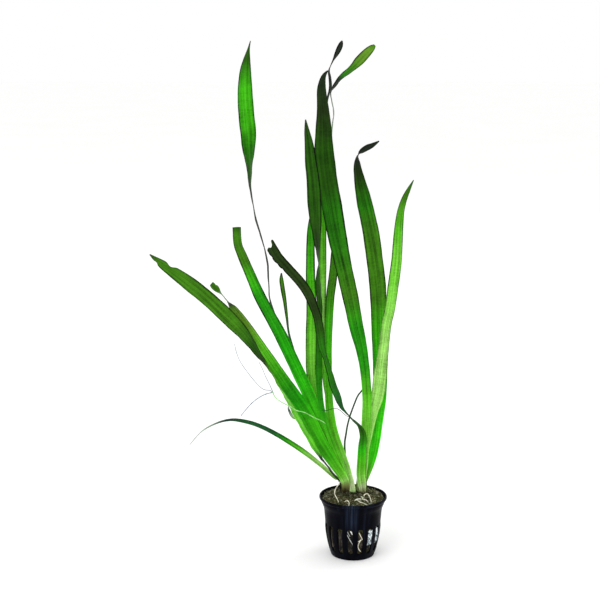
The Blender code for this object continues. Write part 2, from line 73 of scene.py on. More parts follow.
# %% [markdown]
# Helpers for selections and for materials
#
# An operator acts on all that is selected, as it does in the window, so two helpers clear the selection or
# leave one piece in it. Materials are made of nodes. By hand they are added and linked in the Shader
# Editor, and each would take several lines here, so short helpers add a node, set it and link it. Every
# pattern starts from Object coordinates, or from the piece's own UV map where it follows a leaf, because
# both stay with the piece when it moves. Constants are set straight on the shader.


# %% Selecting
def deselect_all():
    """Back to object mode with nothing selected, so that the next operator acts on its own piece only."""
    if bpy.context.object and bpy.context.object.mode != "OBJECT":
        bpy.ops.object.mode_set(mode="OBJECT")
    bpy.ops.object.select_all(action="DESELECT")


def pick_only(piece):
    """Leaves this piece active and alone in the selection, as a click on it does."""
    deselect_all()
    piece.select_set(True)
    bpy.context.view_layer.objects.active = piece


deselect_all()
print("pieces still selected:", len(bpy.context.selected_objects))


# %% Adding nodes
def put(tree, kind, inputs=None, **settings):
    """Adds a node, sets its settings, and gives its inputs a value or a link."""
    made = tree.nodes.new(kind)
    for key, value in settings.items():
        setattr(made, key, value)
    for key, value in (inputs or {}).items():
        if isinstance(value, bpy.types.NodeSocket):
            tree.links.new(value, made.inputs[key])
        else:
            made.inputs[key].default_value = value
    return made


def new_finish(name, roughness, specular):
    """A material with its constants set on the shader, ready for its pattern."""
    look = bpy.data.materials.new(name)
    look.use_nodes = True
    surface = look.node_tree.nodes["Principled BSDF"]
    surface.inputs["Roughness"].default_value = roughness
    surface.inputs["Specular IOR Level"].default_value = specular
    return look, look.node_tree, surface


print("materials so far:", len(bpy.data.materials))


# %% Where a pattern starts, and how it is changed
def object_place(tree):
    """Object coordinates: where a point lies on its piece, in metres."""
    return put(tree, "ShaderNodeTexCoord").outputs["Object"]


def stretched(tree, place, scale):
    """The place, scaled along each axis, so that a pattern on it is drawn out or squeezed."""
    return put(tree, "ShaderNodeMapping", {"Vector": place, "Scale": scale}).outputs["Vector"]


def noise(tree, place, scale, detail, roughness=0.5):
    """Cloudy noise of this scale, with finer clouds inside it."""
    inputs = {"Vector": place, "Scale": scale, "Detail": detail, "Roughness": roughness}
    return put(tree, "ShaderNodeTexNoise", inputs).outputs["Fac"]


def reckon(tree, operation, *values):
    """One Math node: the operation on these values, in their order."""
    return put(tree, "ShaderNodeMath", dict(enumerate(values)), operation=operation).outputs[0]


def rescale(tree, value, low, high, start=0.0, end=1.0, blend="LINEAR"):
    """Goes from start, where the value is low or less, to end, where it is high or more."""
    inputs = {"Value": value, "From Min": low, "From Max": high, "To Min": start, "To Max": end}
    return put(tree, "ShaderNodeMapRange", inputs, interpolation_type=blend).outputs["Result"]


print("noise of scale", round(1 / MM), "has clouds about 1 mm wide")


# %% What a pattern drives
def linear(colour):
    """A screen colour of 0 to 255 as the linear colour that a shader takes."""
    shares = [part / 255 for part in colour]
    opened = [s / 12.92 if s <= 0.04045 else ((s + 0.055) / 1.055) ** 2.4 for s in shares]
    return (*opened, 1.0)


def ramp(tree, factor, stops):
    """A colour ramp from (place, screen colour) stops."""
    made = put(tree, "ShaderNodeValToRGB", {"Fac": factor})
    points = made.color_ramp.elements
    while len(points) < len(stops):
        points.new(0.5)
    for point, (place, colour) in zip(points, stops):
        point.position = place
        point.color = linear(colour)
    return made.outputs["Color"]


def shade(tree, colour, value, hue=0.5):
    """The colour made lighter or darker by value, and shifted round the colour wheel away from hue 0.5."""
    inputs = {"Color": colour, "Value": value, "Hue": hue}
    return put(tree, "ShaderNodeHueSaturation", inputs).outputs["Color"]


def relief(tree, surface, height, strength, distance):
    """Raises the surface where the pattern is light, by this distance in metres, for bumps and grain."""
    bump = put(tree, "ShaderNodeBump", {"Height": height, "Strength": strength, "Distance": distance})
    tree.links.new(bump.outputs["Normal"], surface.inputs["Normal"])


print("mid grey as a shader takes it:", [round(part, 3) for part in linear((128, 128, 128))])

# %% [markdown]
# Floor, sky and lamps
#
# The background of the photo is pure white, so the floor is a large pale plane under a white sky. A backdrop
# would hide the plant in the views from behind, so there is none. A big soft lamp at the upper left gives
# the leaves a lighter and a darker side, and a weaker one behind the plant, at the right, lights their edges.

# %% Floor
FLOOR_SIZE = 24.0
FLOOR_TINTS = ((0.3, (254, 254, 253)), (0.7, (255, 255, 255)))

deselect_all()
bpy.ops.mesh.primitive_plane_add(size=FLOOR_SIZE)
floor = bpy.context.object
floor.name = "floor"
floor_look, floor_tree, floor_surface = new_finish("pale_floor", 0.9, 0.1)
floor_colour = ramp(floor_tree, noise(floor_tree, object_place(floor_tree), 3.0, 2.0), FLOOR_TINTS)
floor_tree.links.new(floor_colour, floor_surface.inputs["Base Color"])
floor.data.materials.append(floor_look)
print("floor:", FLOOR_SIZE, "m wide")

# %% Sky and lamps
SKY_STRENGTH = 1.0
LAMP_AIM = Vector((0, 0, 0.2))
LAMPS = (
    # name, place, size, power
    ("key_lamp", (-0.9, -1.3, 1.5), 1.1, 11.0),
    ("side_lamp", (1.3, 0.7, 1.0), 0.7, 5.0),
)

sky = bpy.data.worlds.new("white_sky")
sky.use_nodes = True
sky.node_tree.nodes["Background"].inputs["Color"].default_value = (1, 1, 1, 1)
sky.node_tree.nodes["Background"].inputs["Strength"].default_value = SKY_STRENGTH
bpy.context.scene.world = sky

for lamp_name, place, size, power in LAMPS:
    bpy.ops.object.light_add(type="AREA", location=place)
    lamp = bpy.context.object
    lamp.name = lamp_name
    lamp.data.size = size
    lamp.data.energy = power
    lamp.rotation_euler = (LAMP_AIM - lamp.location).to_track_quat("-Z", "Y").to_euler()
print("lamps:", [row[0] for row in LAMPS])

# %% [markdown]
# One strap for every leaf
#
# A vallisneria leaf is a ribbon: as wide as a pencil, as thin as paper, with a midrib, fine veins along it
# and a slightly wavy edge. A Curve modifier could bend a ribbon, but its twist can't be set station by
# station, and these leaves turn from flat to edge-on and back. So one strap is modelled by hand, as a grid
# of unit width whose middle is pulled down into a shallow channel. Each leaf gets a copy of it, and a short
# function then carries every row of the copy to its station on the leaf's route, as a Curve modifier
# would, but with the width and the turn that the photo shows there.

# %% Picking vertices
def pick_verts(item, wanted):
    """In edit mode, selects the vertices whose place passes the test, and nothing else."""
    bpy.ops.mesh.select_mode(type="VERT")
    bpy.ops.mesh.select_all(action="DESELECT")
    shape = bmesh.from_edit_mesh(item.data)
    chosen = [vert for vert in shape.verts if wanted(vert.co)]
    for vert in chosen:
        vert.select_set(True)
    shape.select_flush_mode()
    bmesh.update_edit_mesh(item.data)
    return len(chosen)


print("vertices are picked by their place, in metres")

# %% The master strap
STRAP_COLUMNS, STRAP_ROWS = 12, 180
CHANNEL_DEPTH = 0.07
CHANNEL_STEPS = (0.45, 0.38, 0.29, 0.2, 0.1)
MIDRIB_HALF_WIDTH, MIDRIB_DEPTH = 0.02, 0.012
EDGE_FLESH = 0.25

deselect_all()
bpy.ops.mesh.primitive_grid_add(x_subdivisions=STRAP_COLUMNS, y_subdivisions=STRAP_ROWS, size=1.0)
strap = bpy.context.object
strap.name = "master_strap"
bpy.ops.object.mode_set(mode="EDIT")


def channel_step(half_width, depth):
    """Pulls the columns within half_width of the middle down by depth."""
    count = pick_verts(strap, lambda co: abs(co.x) < half_width)
    bpy.ops.transform.translate(value=(0, 0, -depth))
    return count


for half_width in CHANNEL_STEPS:
    channel_step(half_width, CHANNEL_DEPTH / len(CHANNEL_STEPS))
midrib = channel_step(MIDRIB_HALF_WIDTH, MIDRIB_DEPTH)
bpy.ops.object.mode_set(mode="OBJECT")

flesh = strap.vertex_groups.new(name="flesh")
for vert in strap.data.vertices:
    flesh.add([vert.index], 1.0 - 2 * (1.0 - EDGE_FLESH) * abs(vert.co.x), "REPLACE")
strap.hide_render = True
print("strap:", len(strap.data.polygons), "faces,", midrib, "vertices in its midrib")


# %% Rows along a route
FINE_STEPS = 20
SHORTEST = 1e-9


def between(before, start, end, after, t):
    """Catmull-Rom value at t from start (0) to end (1)."""
    bend = 2 * before - 5 * start + 4 * end - after
    tail = 3 * start - before - 3 * end + after
    return 0.5 * (2 * start + (end - before) * t + bend * t**2 + tail * t**3)


def smooth_route(stations, steps):
    """The stations on one smooth curve, with steps pieces between each two."""
    found = []
    for i in range(len(stations) - 1):
        rows = [stations[max(i - 1, 0)], stations[i], stations[i + 1]]
        rows.append(stations[min(i + 2, len(stations) - 1)])
        for k in range(steps):
            found.append([between(*values, k / steps) for values in zip(*rows)])
    found.append(list(stations[-1]))
    return found


def even_rows(stations, count):
    """count + 1 rows, spaced evenly along the route, and the route's length in mm."""
    fine = smooth_route(stations, FINE_STEPS)
    lengths = [0.0]
    for a, b in zip(fine, fine[1:]):
        lengths.append(lengths[-1] + math.dist(a[:3], b[:3]))
    rows, i = [], 0
    for k in range(count + 1):
        target = lengths[-1] * k / count
        while i < len(fine) - 2 and lengths[i + 1] < target:
            i += 1
        t = (target - lengths[i]) / max(lengths[i + 1] - lengths[i], SHORTEST)
        rows.append([a + (b - a) * t for a, b in zip(fine[i], fine[i + 1])])
    return rows, lengths[-1]


print("a route bent once is", round(even_rows(((0, 0, 0), (10, 0, 0), (10, 0, 10)), 10)[1], 1), "mm long")


# %% Carrying a strap to its route
VIEWPOINT = Vector((-42.0, -1000.0, 398.0))
WAVE_LENGTH = 34.0
# Each ripple of an edge: how many times as quick as the first, and how many times as high.
RIPPLES = ((1.0, 1.0), (2.3, 0.5), (5.1, 0.25))
EDGE_WANDER = 0.012
THINNEST, CALM_WIDTH = 0.4, 6.0
TORN_REACH = 7.0


def tear(torn, x, left):
    """How far a torn end moves this vertex on: torn lists (share across, mm), left is the way to the end."""
    for (low, start), (high, end) in zip(torn, torn[1:]):
        if low <= x <= high:
            on = start + (end - start) * (x - low) / (high - low)
            return on * max(0.0, 1.0 - left / TORN_REACH)
    return 0.0


def frames_of(rows):
    """At each row its point, and the blade's two directions there: across it, and square to its face."""
    points = [Vector(row[:3]) for row in rows]
    frames = []
    for k, point in enumerate(points):
        along = (points[min(k + 1, len(points) - 1)] - points[max(k - 1, 0)]).normalized()
        across = along.cross(VIEWPOINT - point).normalized()
        turn = math.radians(rows[k][4])
        side = math.cos(turn) * across + math.sin(turn) * across.cross(along)
        frames.append((point, side, side.cross(along)))
    return frames


def carry(piece, stations, chance, wave=0.35, cup=1.0, bites=(), torn=()):
    """Sets each row of the strap at its station: across, back, up, width and turn, in mm and degrees."""
    rows, length = even_rows(stations, STRAP_ROWS)
    frames = frames_of(rows)
    phases = {edge: [chance.uniform(0, math.tau) for _ in RIPPLES] for edge in (-1, 1)}
    for vert in piece.data.vertices:
        x, k = vert.co.x, round((vert.co.y + 0.5) * STRAP_ROWS)
        point, side, normal = frames[k]
        edge, share, place = (1 if x > 0 else -1), 2 * abs(x), k / STRAP_ROWS
        angle = math.tau * place * length / WAVE_LENGTH
        waves = zip(RIPPLES, phases[edge])
        ripple = sum(size * math.sin(pace * angle + phase) for (pace, size), phase in waves)
        width = max(rows[k][3], THINNEST)
        calm = min(1.0, width / CALM_WIDTH)
        for at, half, bitten, depth in bites:
            if bitten == edge and abs(place - at) < half:
                x *= 1 - depth * math.cos(0.5 * math.pi * (place - at) / half) ** 2
        x *= 1 + EDGE_WANDER * ripple * share**2
        lift = vert.co.z * width * cup + wave * calm * ripple * share**2
        along = normal.cross(side) * tear(torn, x, (1.0 - place) * length)
        vert.co = (point + side * x * width + normal * lift + along) * MM
    return length


print("rows per leaf:", STRAP_ROWS + 1)

# %% [markdown]
# Greens
#
# The leaves don't share one green. They are whitish where they leave the crown, lime in their lower third,
# bright green in the middle, and olive to nearly black at old tips. A few stops along a leaf are painted
# light and shade instead: whitish grey where a twisted leaf stands edge-on and catches the light, and dark
# where it lies in a neighbour's shadow and where it turns its shaded side to the camera. The real leaf also
# has an edge that is dark higher up, a band along its midrib, veins along it, and faint bars across. Low
# down, the edge is painted light instead, for the light that comes through it, and a leaf that is folded
# gets painted shade down its middle and painted light along its edges. Painting that by hand would take a
# texture. Here it comes from nodes that read the strap's own UV map, where U runs across the leaf and V along
# it, so the pattern follows every bend and turn. Each leaf names its tints from one small palette, at shares
# of its length.

# %% The palette
GREENS = {
    "bark": (66, 58, 34),
    "husk": (128, 136, 78),
    "cream": (206, 226, 168),
    "pale": (154, 218, 102),
    "lime": (114, 204, 56),
    "fresh": (86, 188, 30),
    "bright": (60, 172, 16),
    "vivid": (60, 208, 18),
    "spring": (46, 184, 12),
    "grass": (34, 164, 8),
    "leaf": (36, 150, 12),
    "deep": (38, 118, 10),
    "forest": (37, 86, 9),
    "olive": (64, 126, 20),
    "brass": (96, 144, 38),
    "moss": (37, 60, 18),
    "night": (32, 41, 29),
    "sea": (30, 90, 44),
    "slate": (52, 74, 62),
    "mist": (150, 172, 146),
    "frost": (206, 214, 206),
}
print(len(GREENS), "tints")


# %% A leaf's finish
LEAF_VALUE, VEIN_LIGHT = 0.68, 0.26
# Cells of each pattern for a mm across the leaf and for a mm along it, and how fine its detail is.
VEINS, STREAKS = (1.5, 0.03, 3.0), (0.55, 0.012, 2.0)
BARS, CELLS = (0.16, 0.7, 2.0), (0.9, 1.1, 3.0)
STREAK_DEPTH, BAR_DEPTH, CELL_DEPTH, MOTTLE_DEPTH = 0.2, 0.06, 0.09, 0.1
# The rim starts and is full at these distances in mm from the edge. Below pale it is painted light instead of
# dark.
RIM_START, RIM_FULL = 1.3, 0.5
PAINTED_LIGHT_RIM, RIM_CHANGE = -0.45, 0.2
BAND_HALF_WIDTH = 0.4


def smooth(tree, value, low, high, start=0.0, end=1.0):
    """As rescale, with a soft start and a soft end."""
    return rescale(tree, value, low, high, start, end, "SMOOTHSTEP")


def leaf_patterns(tree, uv, length, width):
    """Veins, streaks, bars and cells: noise on the leaf's own UV map, at their real size in mm."""
    return [
        noise(tree, stretched(tree, uv, (width * across, length * along, 1)), 1.0, detail)
        for across, along, detail in (VEINS, STREAKS, BARS, CELLS)
    ]


def leaf_finish(name, tints, length, width, edge=0.62, band=0.1, fold=0.0, pale=0.3):
    """Tints along the leaf, an edge of painted light below pale and dark above, a band, veins and bars."""
    look, tree, surface = new_finish(name, 0.5, 0.05)
    uv = put(tree, "ShaderNodeUVMap", uv_map="UVMap").outputs["UV"]
    parts = put(tree, "ShaderNodeSeparateXYZ", {"Vector": uv}).outputs
    colour = ramp(tree, parts["Y"], [(place, GREENS[tint]) for place, tint in tints])
    veins, streaks, bars, cells = leaf_patterns(tree, uv, length, width)
    mottle = noise(tree, object_place(tree), 90.0, 4.0)

    from_middle = reckon(tree, "ABSOLUTE", reckon(tree, "MULTIPLY_ADD", parts["X"], 2.0, -1.0))
    rim = smooth(tree, from_middle, 1 - 2 * RIM_START / width, 1 - 2 * RIM_FULL / width, 0.0, edge)
    # Below pale the rim gets painted light; above it the rim is dark.
    dark = smooth(tree, parts["Y"], pale - RIM_CHANGE, pale + RIM_CHANGE, PAINTED_LIGHT_RIM, 1.0)

    value = reckon(tree, "MULTIPLY_ADD", smooth(tree, veins, 0.3, 0.7), VEIN_LIGHT, LEAF_VALUE)
    for pattern, depth in (
        (streaks, STREAK_DEPTH), (bars, BAR_DEPTH), (cells, CELL_DEPTH), (mottle, MOTTLE_DEPTH),
    ):
        value = reckon(tree, "ADD", value, smooth(tree, pattern, 0.34, 0.66, -depth, depth))
    value = reckon(tree, "ADD", value, smooth(tree, from_middle, 0.0, BAND_HALF_WIDTH, band, 0.0))
    value = reckon(tree, "SUBTRACT", value, reckon(tree, "MULTIPLY", rim, dark))
    # Painted shade for a leaf that is folded: darker down its middle, painted light along its edges.
    if fold:
        once_round = reckon(tree, "COSINE", reckon(tree, "MULTIPLY", parts["X"], math.tau))
        value = reckon(tree, "MULTIPLY_ADD", once_round, fold, value)
    tree.links.new(shade(tree, colour, value), surface.inputs["Base Color"])
    tree.links.new(smooth(tree, veins, 0.3, 0.7, 0.34, 0.5), surface.inputs["Roughness"])
    relief(tree, surface, reckon(tree, "MULTIPLY_ADD", bars, 0.5, veins), 0.35, 0.0003)
    return look


print("veins are about", round(1 / VEINS[0], 2), "mm apart, bars", round(1 / BARS[1], 2), "mm")


# %% Finishing a piece
def finish_piece(piece, node, angle=50):
    """Smooth shading, the body that the piece rides on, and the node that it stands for."""
    pick_only(piece)
    bpy.ops.object.shade_smooth_by_angle(angle=math.radians(angle))
    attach(piece, "root")
    if node:
        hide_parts(node)


print("nodes to stand for:", len(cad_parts))


# %% One leaf
LEAF_THICKNESS = 0.42
made_leaves = {}


def copy_strap(name):
    """A shown copy of the master strap, with its own mesh, active and alone in the selection."""
    piece = strap.copy()
    piece.data = strap.data.copy()
    piece.name = name
    piece.hide_render = False
    bpy.context.scene.collection.objects.link(piece)
    pick_only(piece)
    return piece


def thicken(piece, thickness):
    """Gives the sheet its flesh: thick at the midrib, thin at its edges, closed all round."""
    solid = piece.modifiers.new("flesh", "SOLIDIFY")
    solid.thickness = thickness * MM
    solid.offset = 0.0
    solid.vertex_group = "flesh"
    solid.thickness_vertex_group = EDGE_FLESH
    bpy.ops.object.modifier_apply(modifier=solid.name)


def make_leaf(name, node, slot, stations, tints, seed, **shape):
    """Copies the strap, carries it to its route, thickens it, and gives it its greens."""
    piece = copy_strap(name)
    painted = {key: shape.pop(key) for key in ("edge", "band", "fold", "pale") if key in shape}
    length = carry(piece, stations, random.Random(seed), **shape)
    thicken(piece, LEAF_THICKNESS)
    widest = max(row[3] for row in stations)
    piece.data.materials.append(leaf_finish(name + "_green", tints, length, widest, **painted))
    finish_piece(piece, node)
    made_leaves[name] = round(length)


print("a leaf is", LEAF_THICKNESS, "mm thick at its midrib")

# %% [markdown]
# The left rosette
#
# Ten leaves grow from the left crown and fan out to the left and upwards. Their routes are those of the CAD
# model, whose plain solids had to stop just above the crown. A real leaf clasps the stem with its base, so
# each route goes on downwards here. Most get one more station inside the crown, and the long curled leaf,
# which stands clear of it, has stations of its own down to the wool.

# %% Where leaves start
LEFT_CROWN = (-5.4, 6.2)
RIGHT_CROWN = (6.6, 6.1)
BASE_HEIGHT = 46.6
BASE_NARROWING = 0.9


def rooted(crown, stations, reach=0.45):
    """The stations with one more in front, inside the crown and leaning towards the first one."""
    x, y, up, width, turn = stations[0]
    start = [c + (value - c) * reach for c, value in zip(crown, (x, y))]
    return ((*start, BASE_HEIGHT, width * BASE_NARROWING, turn), *stations)


print("leaves start", BASE_HEIGHT, "mm above the table")


# %% Leaves at the far left
make_leaf(
    "arching_leaf", "leaf_drooping", "bright_green_leaf",
    rooted(LEFT_CROWN, (
        (-9.5, 9, 57, 2.8, 0), (-14.5, 8.5, 60, 3.2, 0), (-26, 7, 70.8, 3.4, 0), (-40, 4, 83, 4, 0),
        (-58.5, 0, 96.5, 3.6, 0), (-73.5, -4, 105.5, 3.2, 0), (-85.5, -7, 110, 2.8, 0),
        (-95.5, -9, 111.5, 2, 0), (-106, -10, 109, 1.3, 0), (-117, -11, 103, 0.9, 0),
        (-126.5, -12, 92.5, 0.6, 0),
    )),
    ((0.0, "husk"), (0.04, "pale"), (0.25, "pale"), (0.35, "fresh"), (0.44, "leaf"), (0.52, "sea"),
     (0.68, "sea"), (0.79, "slate"), (0.86, "mist"), (0.93, "frost")),
    seed=1, wave=0.1, edge=0.3,
)
# Its dark stops at 0.15 and around 0.52 are painted shade: the shaded side of its twist, and the front leaf's
# shadow.
make_leaf(
    "far_left_leaf", "leaf_outer_left", "bright_green_leaf",
    rooted(LEFT_CROWN, (
        (-10.5, 5, 57.5, 4.8, 74), (-16.4, 3.3, 65, 5.4, 76), (-22.8, 1, 74.5, 6.2, 74),
        (-30.1, -2.8, 87, 7, 62), (-37.6, -4.8, 100.5, 7, 58), (-45.1, -7, 116, 7, 61),
        (-54.9, -9.5, 133.5, 7.2, 76), (-63.5, -13, 150, 7.6, 100), (-70.5, -15.5, 161.5, 8.4, 112),
        (-79.5, -18, 175.5, 9.8, 140), (-90, -21.5, 189, 11, 165), (-102, -25, 202, 11.2, 180),
        (-112.5, -28, 212.5, 11, 180), (-124.5, -31.5, 223, 10.4, 180), (-135.5, -35, 232, 8.2, 180),
        (-143, -37, 238, 5.8, 180), (-151, -39, 245, 0.8, 180),
    )),
    ((0.0, "moss"), (0.15, "night"), (0.18, "fresh"), (0.44, "lime"), (0.49, "olive"), (0.52, "moss"),
     (0.58, "forest"), (0.66, "olive"), (0.97, "olive"), (1.0, "moss")),
    seed=2, edge=0.5, bites=((0.93, 0.02, -1, 0.45), (0.97, 0.012, 1, 0.4)),
)
# Painted shade darkens its middle, and its mist stops from 0.92 to 0.945 are painted light on its edge-on
# neck.
make_leaf(
    "front_left_leaf", "leaf_front_left", "bright_green_leaf",
    rooted(LEFT_CROWN, (
        (-6.2, 2.6, 58, 6.6, 0), (-14.2, 1.9, 71.5, 7.6, 0), (-26, 1, 91, 10.6, 0),
        (-37.5, 0, 114.5, 11.4, 0), (-48.5, -2, 132, 10.6, 0), (-59, -4, 148.5, 9.2, 0),
        (-70, -7, 166, 8.4, 0), (-83.5, -11, 187.5, 7.2, 10), (-92, -14, 200, 6.2, 40),
        (-97, -15.3, 206.8, 3.4, 88), (-100.5, -16.2, 211.5, 2.8, 104), (-103.5, -17, 215, 4.8, 150),
        (-106.4, -17.6, 218, 4.6, 180), (-108, -18, 219.5, 3, 180),
    ), 0.85),
    ((0.0, "bark"), (0.018, "bark"), (0.04, "husk"), (0.06, "pale"), (0.08, "lime"), (0.115, "fresh"),
     (0.17, "bright"), (0.33, "bright"), (0.42, "grass"), (0.48, "leaf"), (0.56, "bright"),
     (0.66, "fresh"), (0.78, "brass"), (0.87, "brass"), (0.895, "night"), (0.92, "mist"),
     (0.945, "mist"), (0.96, "olive"), (1.0, "olive")),
    seed=3, edge=0.5, fold=0.1, pale=0.5, bites=((0.985, 0.01, -1, 0.3),),
)
print("lengths in mm:", made_leaves)

# %% Leaves of the left rosette's middle
make_leaf(
    "blunt_leaf", "leaf_blunt_tip", "bright_green_leaf",
    rooted(LEFT_CROWN, (
        (-5.5, 5.1, 57.5, 4.8, 0), (-15, 4.7, 79, 6.2, 0), (-24.5, 4, 101, 7.4, 0), (-32.8, 3, 123.5, 9.2, 0),
        (-40.4, 1.5, 141, 9.6, 0), (-47.4, -1, 157, 9.6, 0), (-56.4, -3.5, 177, 9.4, 0),
        (-66, -7, 196, 8.8, 0), (-72.5, -9.5, 209.5, 8.6, 0), (-78.5, -12, 224.5, 7.6, 0),
        (-84.9, -14.5, 240.5, 6.9, 0), (-87.9, -16, 249.5, 6.4, 0), (-88.5, -17.5, 262, 6.2, 0),
    )),
    ((0.0, "bark"), (0.03, "husk"), (0.05, "cream"), (0.085, "pale"), (0.14, "lime"), (0.28, "bright"),
     (0.4, "spring"), (0.55, "grass"), (0.65, "leaf"), (0.76, "leaf"), (0.83, "bright"), (0.88, "olive"),
     (0.98, "olive"), (1.0, "forest")),
    seed=4, pale=0.5,
)
make_leaf(
    "tall_left_leaf", "leaf_tall_left", "bright_green_leaf",
    rooted(LEFT_CROWN, (
        (-5.5, 9.5, 57, 4, 0), (-19.5, 11.1, 90, 4.8, 0), (-32, 13.5, 117.5, 5, 0), (-44.5, 17, 146.5, 5, 10),
        (-55.5, 19.5, 172.5, 5, 45), (-64.5, 22, 197, 5, 78), (-66, 24, 211, 5.4, 79),
        (-67, 26.5, 228.5, 5.8, 80), (-71.5, 29.5, 246.5, 6.2, 81), (-77, 33, 265.5, 6.6, 83),
        (-80, 36, 283.5, 7.4, 99), (-80.8, 38, 294.5, 8.6, 114), (-81.2, 39.5, 304, 10, 121),
        (-81.5, 41.5, 314, 11.6, 143), (-81.8, 43.5, 326.5, 12.6, 165), (-83, 45.5, 339.5, 12.4, 180),
        (-84.2, 48.5, 357.5, 11.6, 180), (-84, 51, 372, 9.4, 180), (-83, 52.5, 382, 6, 180),
        (-81.5, 54, 391, 2, 180), (-80, 55, 397.5, 0.6, 180),
    )),
    ((0.0, "pale"), (0.1, "bright"), (0.3, "leaf"), (0.4, "night"), (0.68, "night"), (0.725, "forest"),
     (0.77, "deep"), (0.82, "bright"), (0.9, "bright"), (0.96, "forest"), (1.0, "moss")),
    seed=5, wave=0.2,
)
make_leaf(
    "bud_leaf", "leaf_small_bud", "bright_green_leaf",
    rooted(LEFT_CROWN, (
        (-5.5, 8.4, 57.5, 3.2, 0), (-20.5, 9.8, 90, 3.2, 0), (-34.5, 11.6, 122, 3.2, 0),
        (-44.5, 14.3, 152, 3.2, 20), (-50, 15.5, 173, 3.2, 60), (-52, 17, 188, 3.6, 56),
        (-53.5, 18, 199.5, 3.8, 40), (-55, 19, 208.5, 3.6, 15), (-56, 20, 215.5, 3.2, 0),
        (-56, 20.5, 221, 1, 0),
    )),
    ((0.0, "pale"), (0.15, "bright"), (0.45, "leaf"), (0.7, "sea"), (0.86, "olive"), (0.97, "olive"),
     (1.0, "moss")),
    seed=6, wave=0.1,
)
print("lengths in mm:", made_leaves)

# %% Upright leaves of the left rosette
make_leaf(
    "dark_upright_leaf", "leaf_dark_upright", "dark_green_leaf",
    rooted(LEFT_CROWN, (
        (-4.5, 4, 58.5, 4.4, 180), (-17.5, 3.1, 92, 4.6, 180), (-24, 2.4, 114, 4.6, 180),
        (-26.5, 1.5, 132.5, 4.8, 180), (-27, 0.5, 156.5, 4.8, 175), (-27, -1, 180.5, 5.4, 152),
        (-27, -3, 202, 6, 138), (-28, -4.5, 219, 6.8, 121), (-28, -5.5, 233, 7.6, 90),
        (-28, -6.5, 243, 7.8, 66), (-29, -7, 252.5, 8.2, 46), (-30, -8, 265.5, 9.2, 16),
        (-31, -9.5, 281, 10.2, 0), (-32, -11, 296.5, 9.6, 0), (-33.5, -12, 309, 8.6, 0),
        (-35, -13.5, 323, 6.4, 0), (-36.5, -14.5, 332.5, 4, 0), (-37.5, -15, 341, 0.8, 0),
    )),
    ((0.0, "pale"), (0.1, "fresh"), (0.25, "leaf"), (0.4, "deep"), (0.52, "forest"), (0.63, "forest"),
     (0.68, "moss"), (0.76, "forest"), (0.94, "forest"), (1.0, "moss")),
    seed=7, band=-0.16,
)
make_leaf(
    "pale_back_leaf", "leaf_pale_back", "pale_green_leaf",
    rooted(LEFT_CROWN, (
        (-5, 7.4, 57.5, 4, 0), (-18, 8.7, 90.5, 4.8, 0), (-27, 10, 116, 6.4, 0), (-32.2, 10.5, 139.5, 7.8, 0),
        (-33.1, 12.5, 161.5, 8.4, 0), (-32.7, 16, 192.5, 8, 0), (-33.5, 19.5, 219.5, 7.2, 0),
        (-33.5, 22.5, 242.5, 6.4, 0), (-33, 24.5, 258, 5, 0), (-32, 26, 270, 1.2, 0),
    )),
    ((0.0, "cream"), (0.1, "lime"), (0.5, "lime"), (0.64, "fresh"), (0.82, "bright"), (1.0, "deep")),
    seed=8,
)
make_leaf(
    "narrow_pale_leaf", "leaf_pale_middle", "pale_green_leaf",
    rooted(LEFT_CROWN, (
        (-4.5, 10.8, 57, 3.2, 0), (-12.5, 12.8, 84.5, 3.4, 0), (-18, 15, 111.5, 3.4, 0),
        (-21.5, 17.4, 133.5, 4, 0), (-23.7, 18.5, 157, 4.8, 0), (-24.7, 22.5, 183.5, 6.2, 0),
        (-24.3, 26.5, 210.5, 6.4, 0), (-24.2, 30.5, 237.5, 6.4, 0), (-24, 33, 255.5, 5.6, 0),
        (-24.3, 34.6, 266, 3.4, 0), (-25, 35.4, 275, 0.8, 0),
    )),
    ((0.0, "cream"), (0.12, "lime"), (0.5, "lime"), (0.64, "pale"), (0.76, "lime"), (0.9, "fresh"),
     (1.0, "deep")),
    seed=9,
)
# Its mist stops from 0.72 to 0.83 are painted light where the leaf stands edge-on.
make_leaf(
    "long_curled_leaf", "leaf_long_curled", "bright_green_leaf",
    (
        (-0.2, 3.2, 46.5, 5.2, 0), (-0.9, 3.2, 51, 5.8, 0), (-2.2, 3.6, 56.5, 6.6, 0), (-4, 5, 62, 7.2, 0),
        (-6.4, 6.4, 69.5, 7.6, 0), (-11.8, 6.7, 83.5, 8.6, 0), (-16.1, 7.6, 98.5, 7.8, 0),
        (-18.5, 9, 116, 6.4, 0), (-19.5, 11.5, 138, 5.8, 0),
        (-19.5, 14.5, 161, 5.4, 0), (-19, 17, 180.5, 5.6, 0), (-18, 21, 202, 6.6, 0),
        (-15.5, 24, 222.5, 6.6, 0), (-14, 28, 245.5, 5.8, 0), (-15, 32.5, 272.5, 5.2, 20),
        (-17, 37, 297.5, 4.8, 60), (-17.5, 41, 318, 4.4, 88), (-16.5, 44, 334, 4.4, 90),
        (-15.5, 45.5, 343, 4.4, 90), (-17, 47, 351, 4.6, 90), (-18, 48.5, 358, 5.2, 88),
        (-15.5, 49, 362.5, 5.6, 74), (-10.5, 50.5, 369, 6.4, 61), (-1.5, 52.5, 376.5, 7, 40),
        (5, 54, 383, 7.6, 15), (10.5, 56, 388.5, 6.8, 0), (14.6, 57.3, 392.3, 4.8, 0),
        (16.6, 58, 394.2, 1.8, 0),
    ),
    ((0.0, "pale"), (0.02, "cream"), (0.05, "pale"), (0.1, "lime"), (0.15, "fresh"), (0.36, "bright"),
     (0.46, "olive"), (0.6, "deep"), (0.66, "slate"), (0.72, "mist"), (0.83, "mist"), (0.86, "night"),
     (0.895, "night"), (0.91, "deep"), (0.935, "olive"), (0.96, "brass"), (0.985, "brass"), (1.0, "olive")),
    seed=10,
)
print("lengths in mm:", made_leaves)

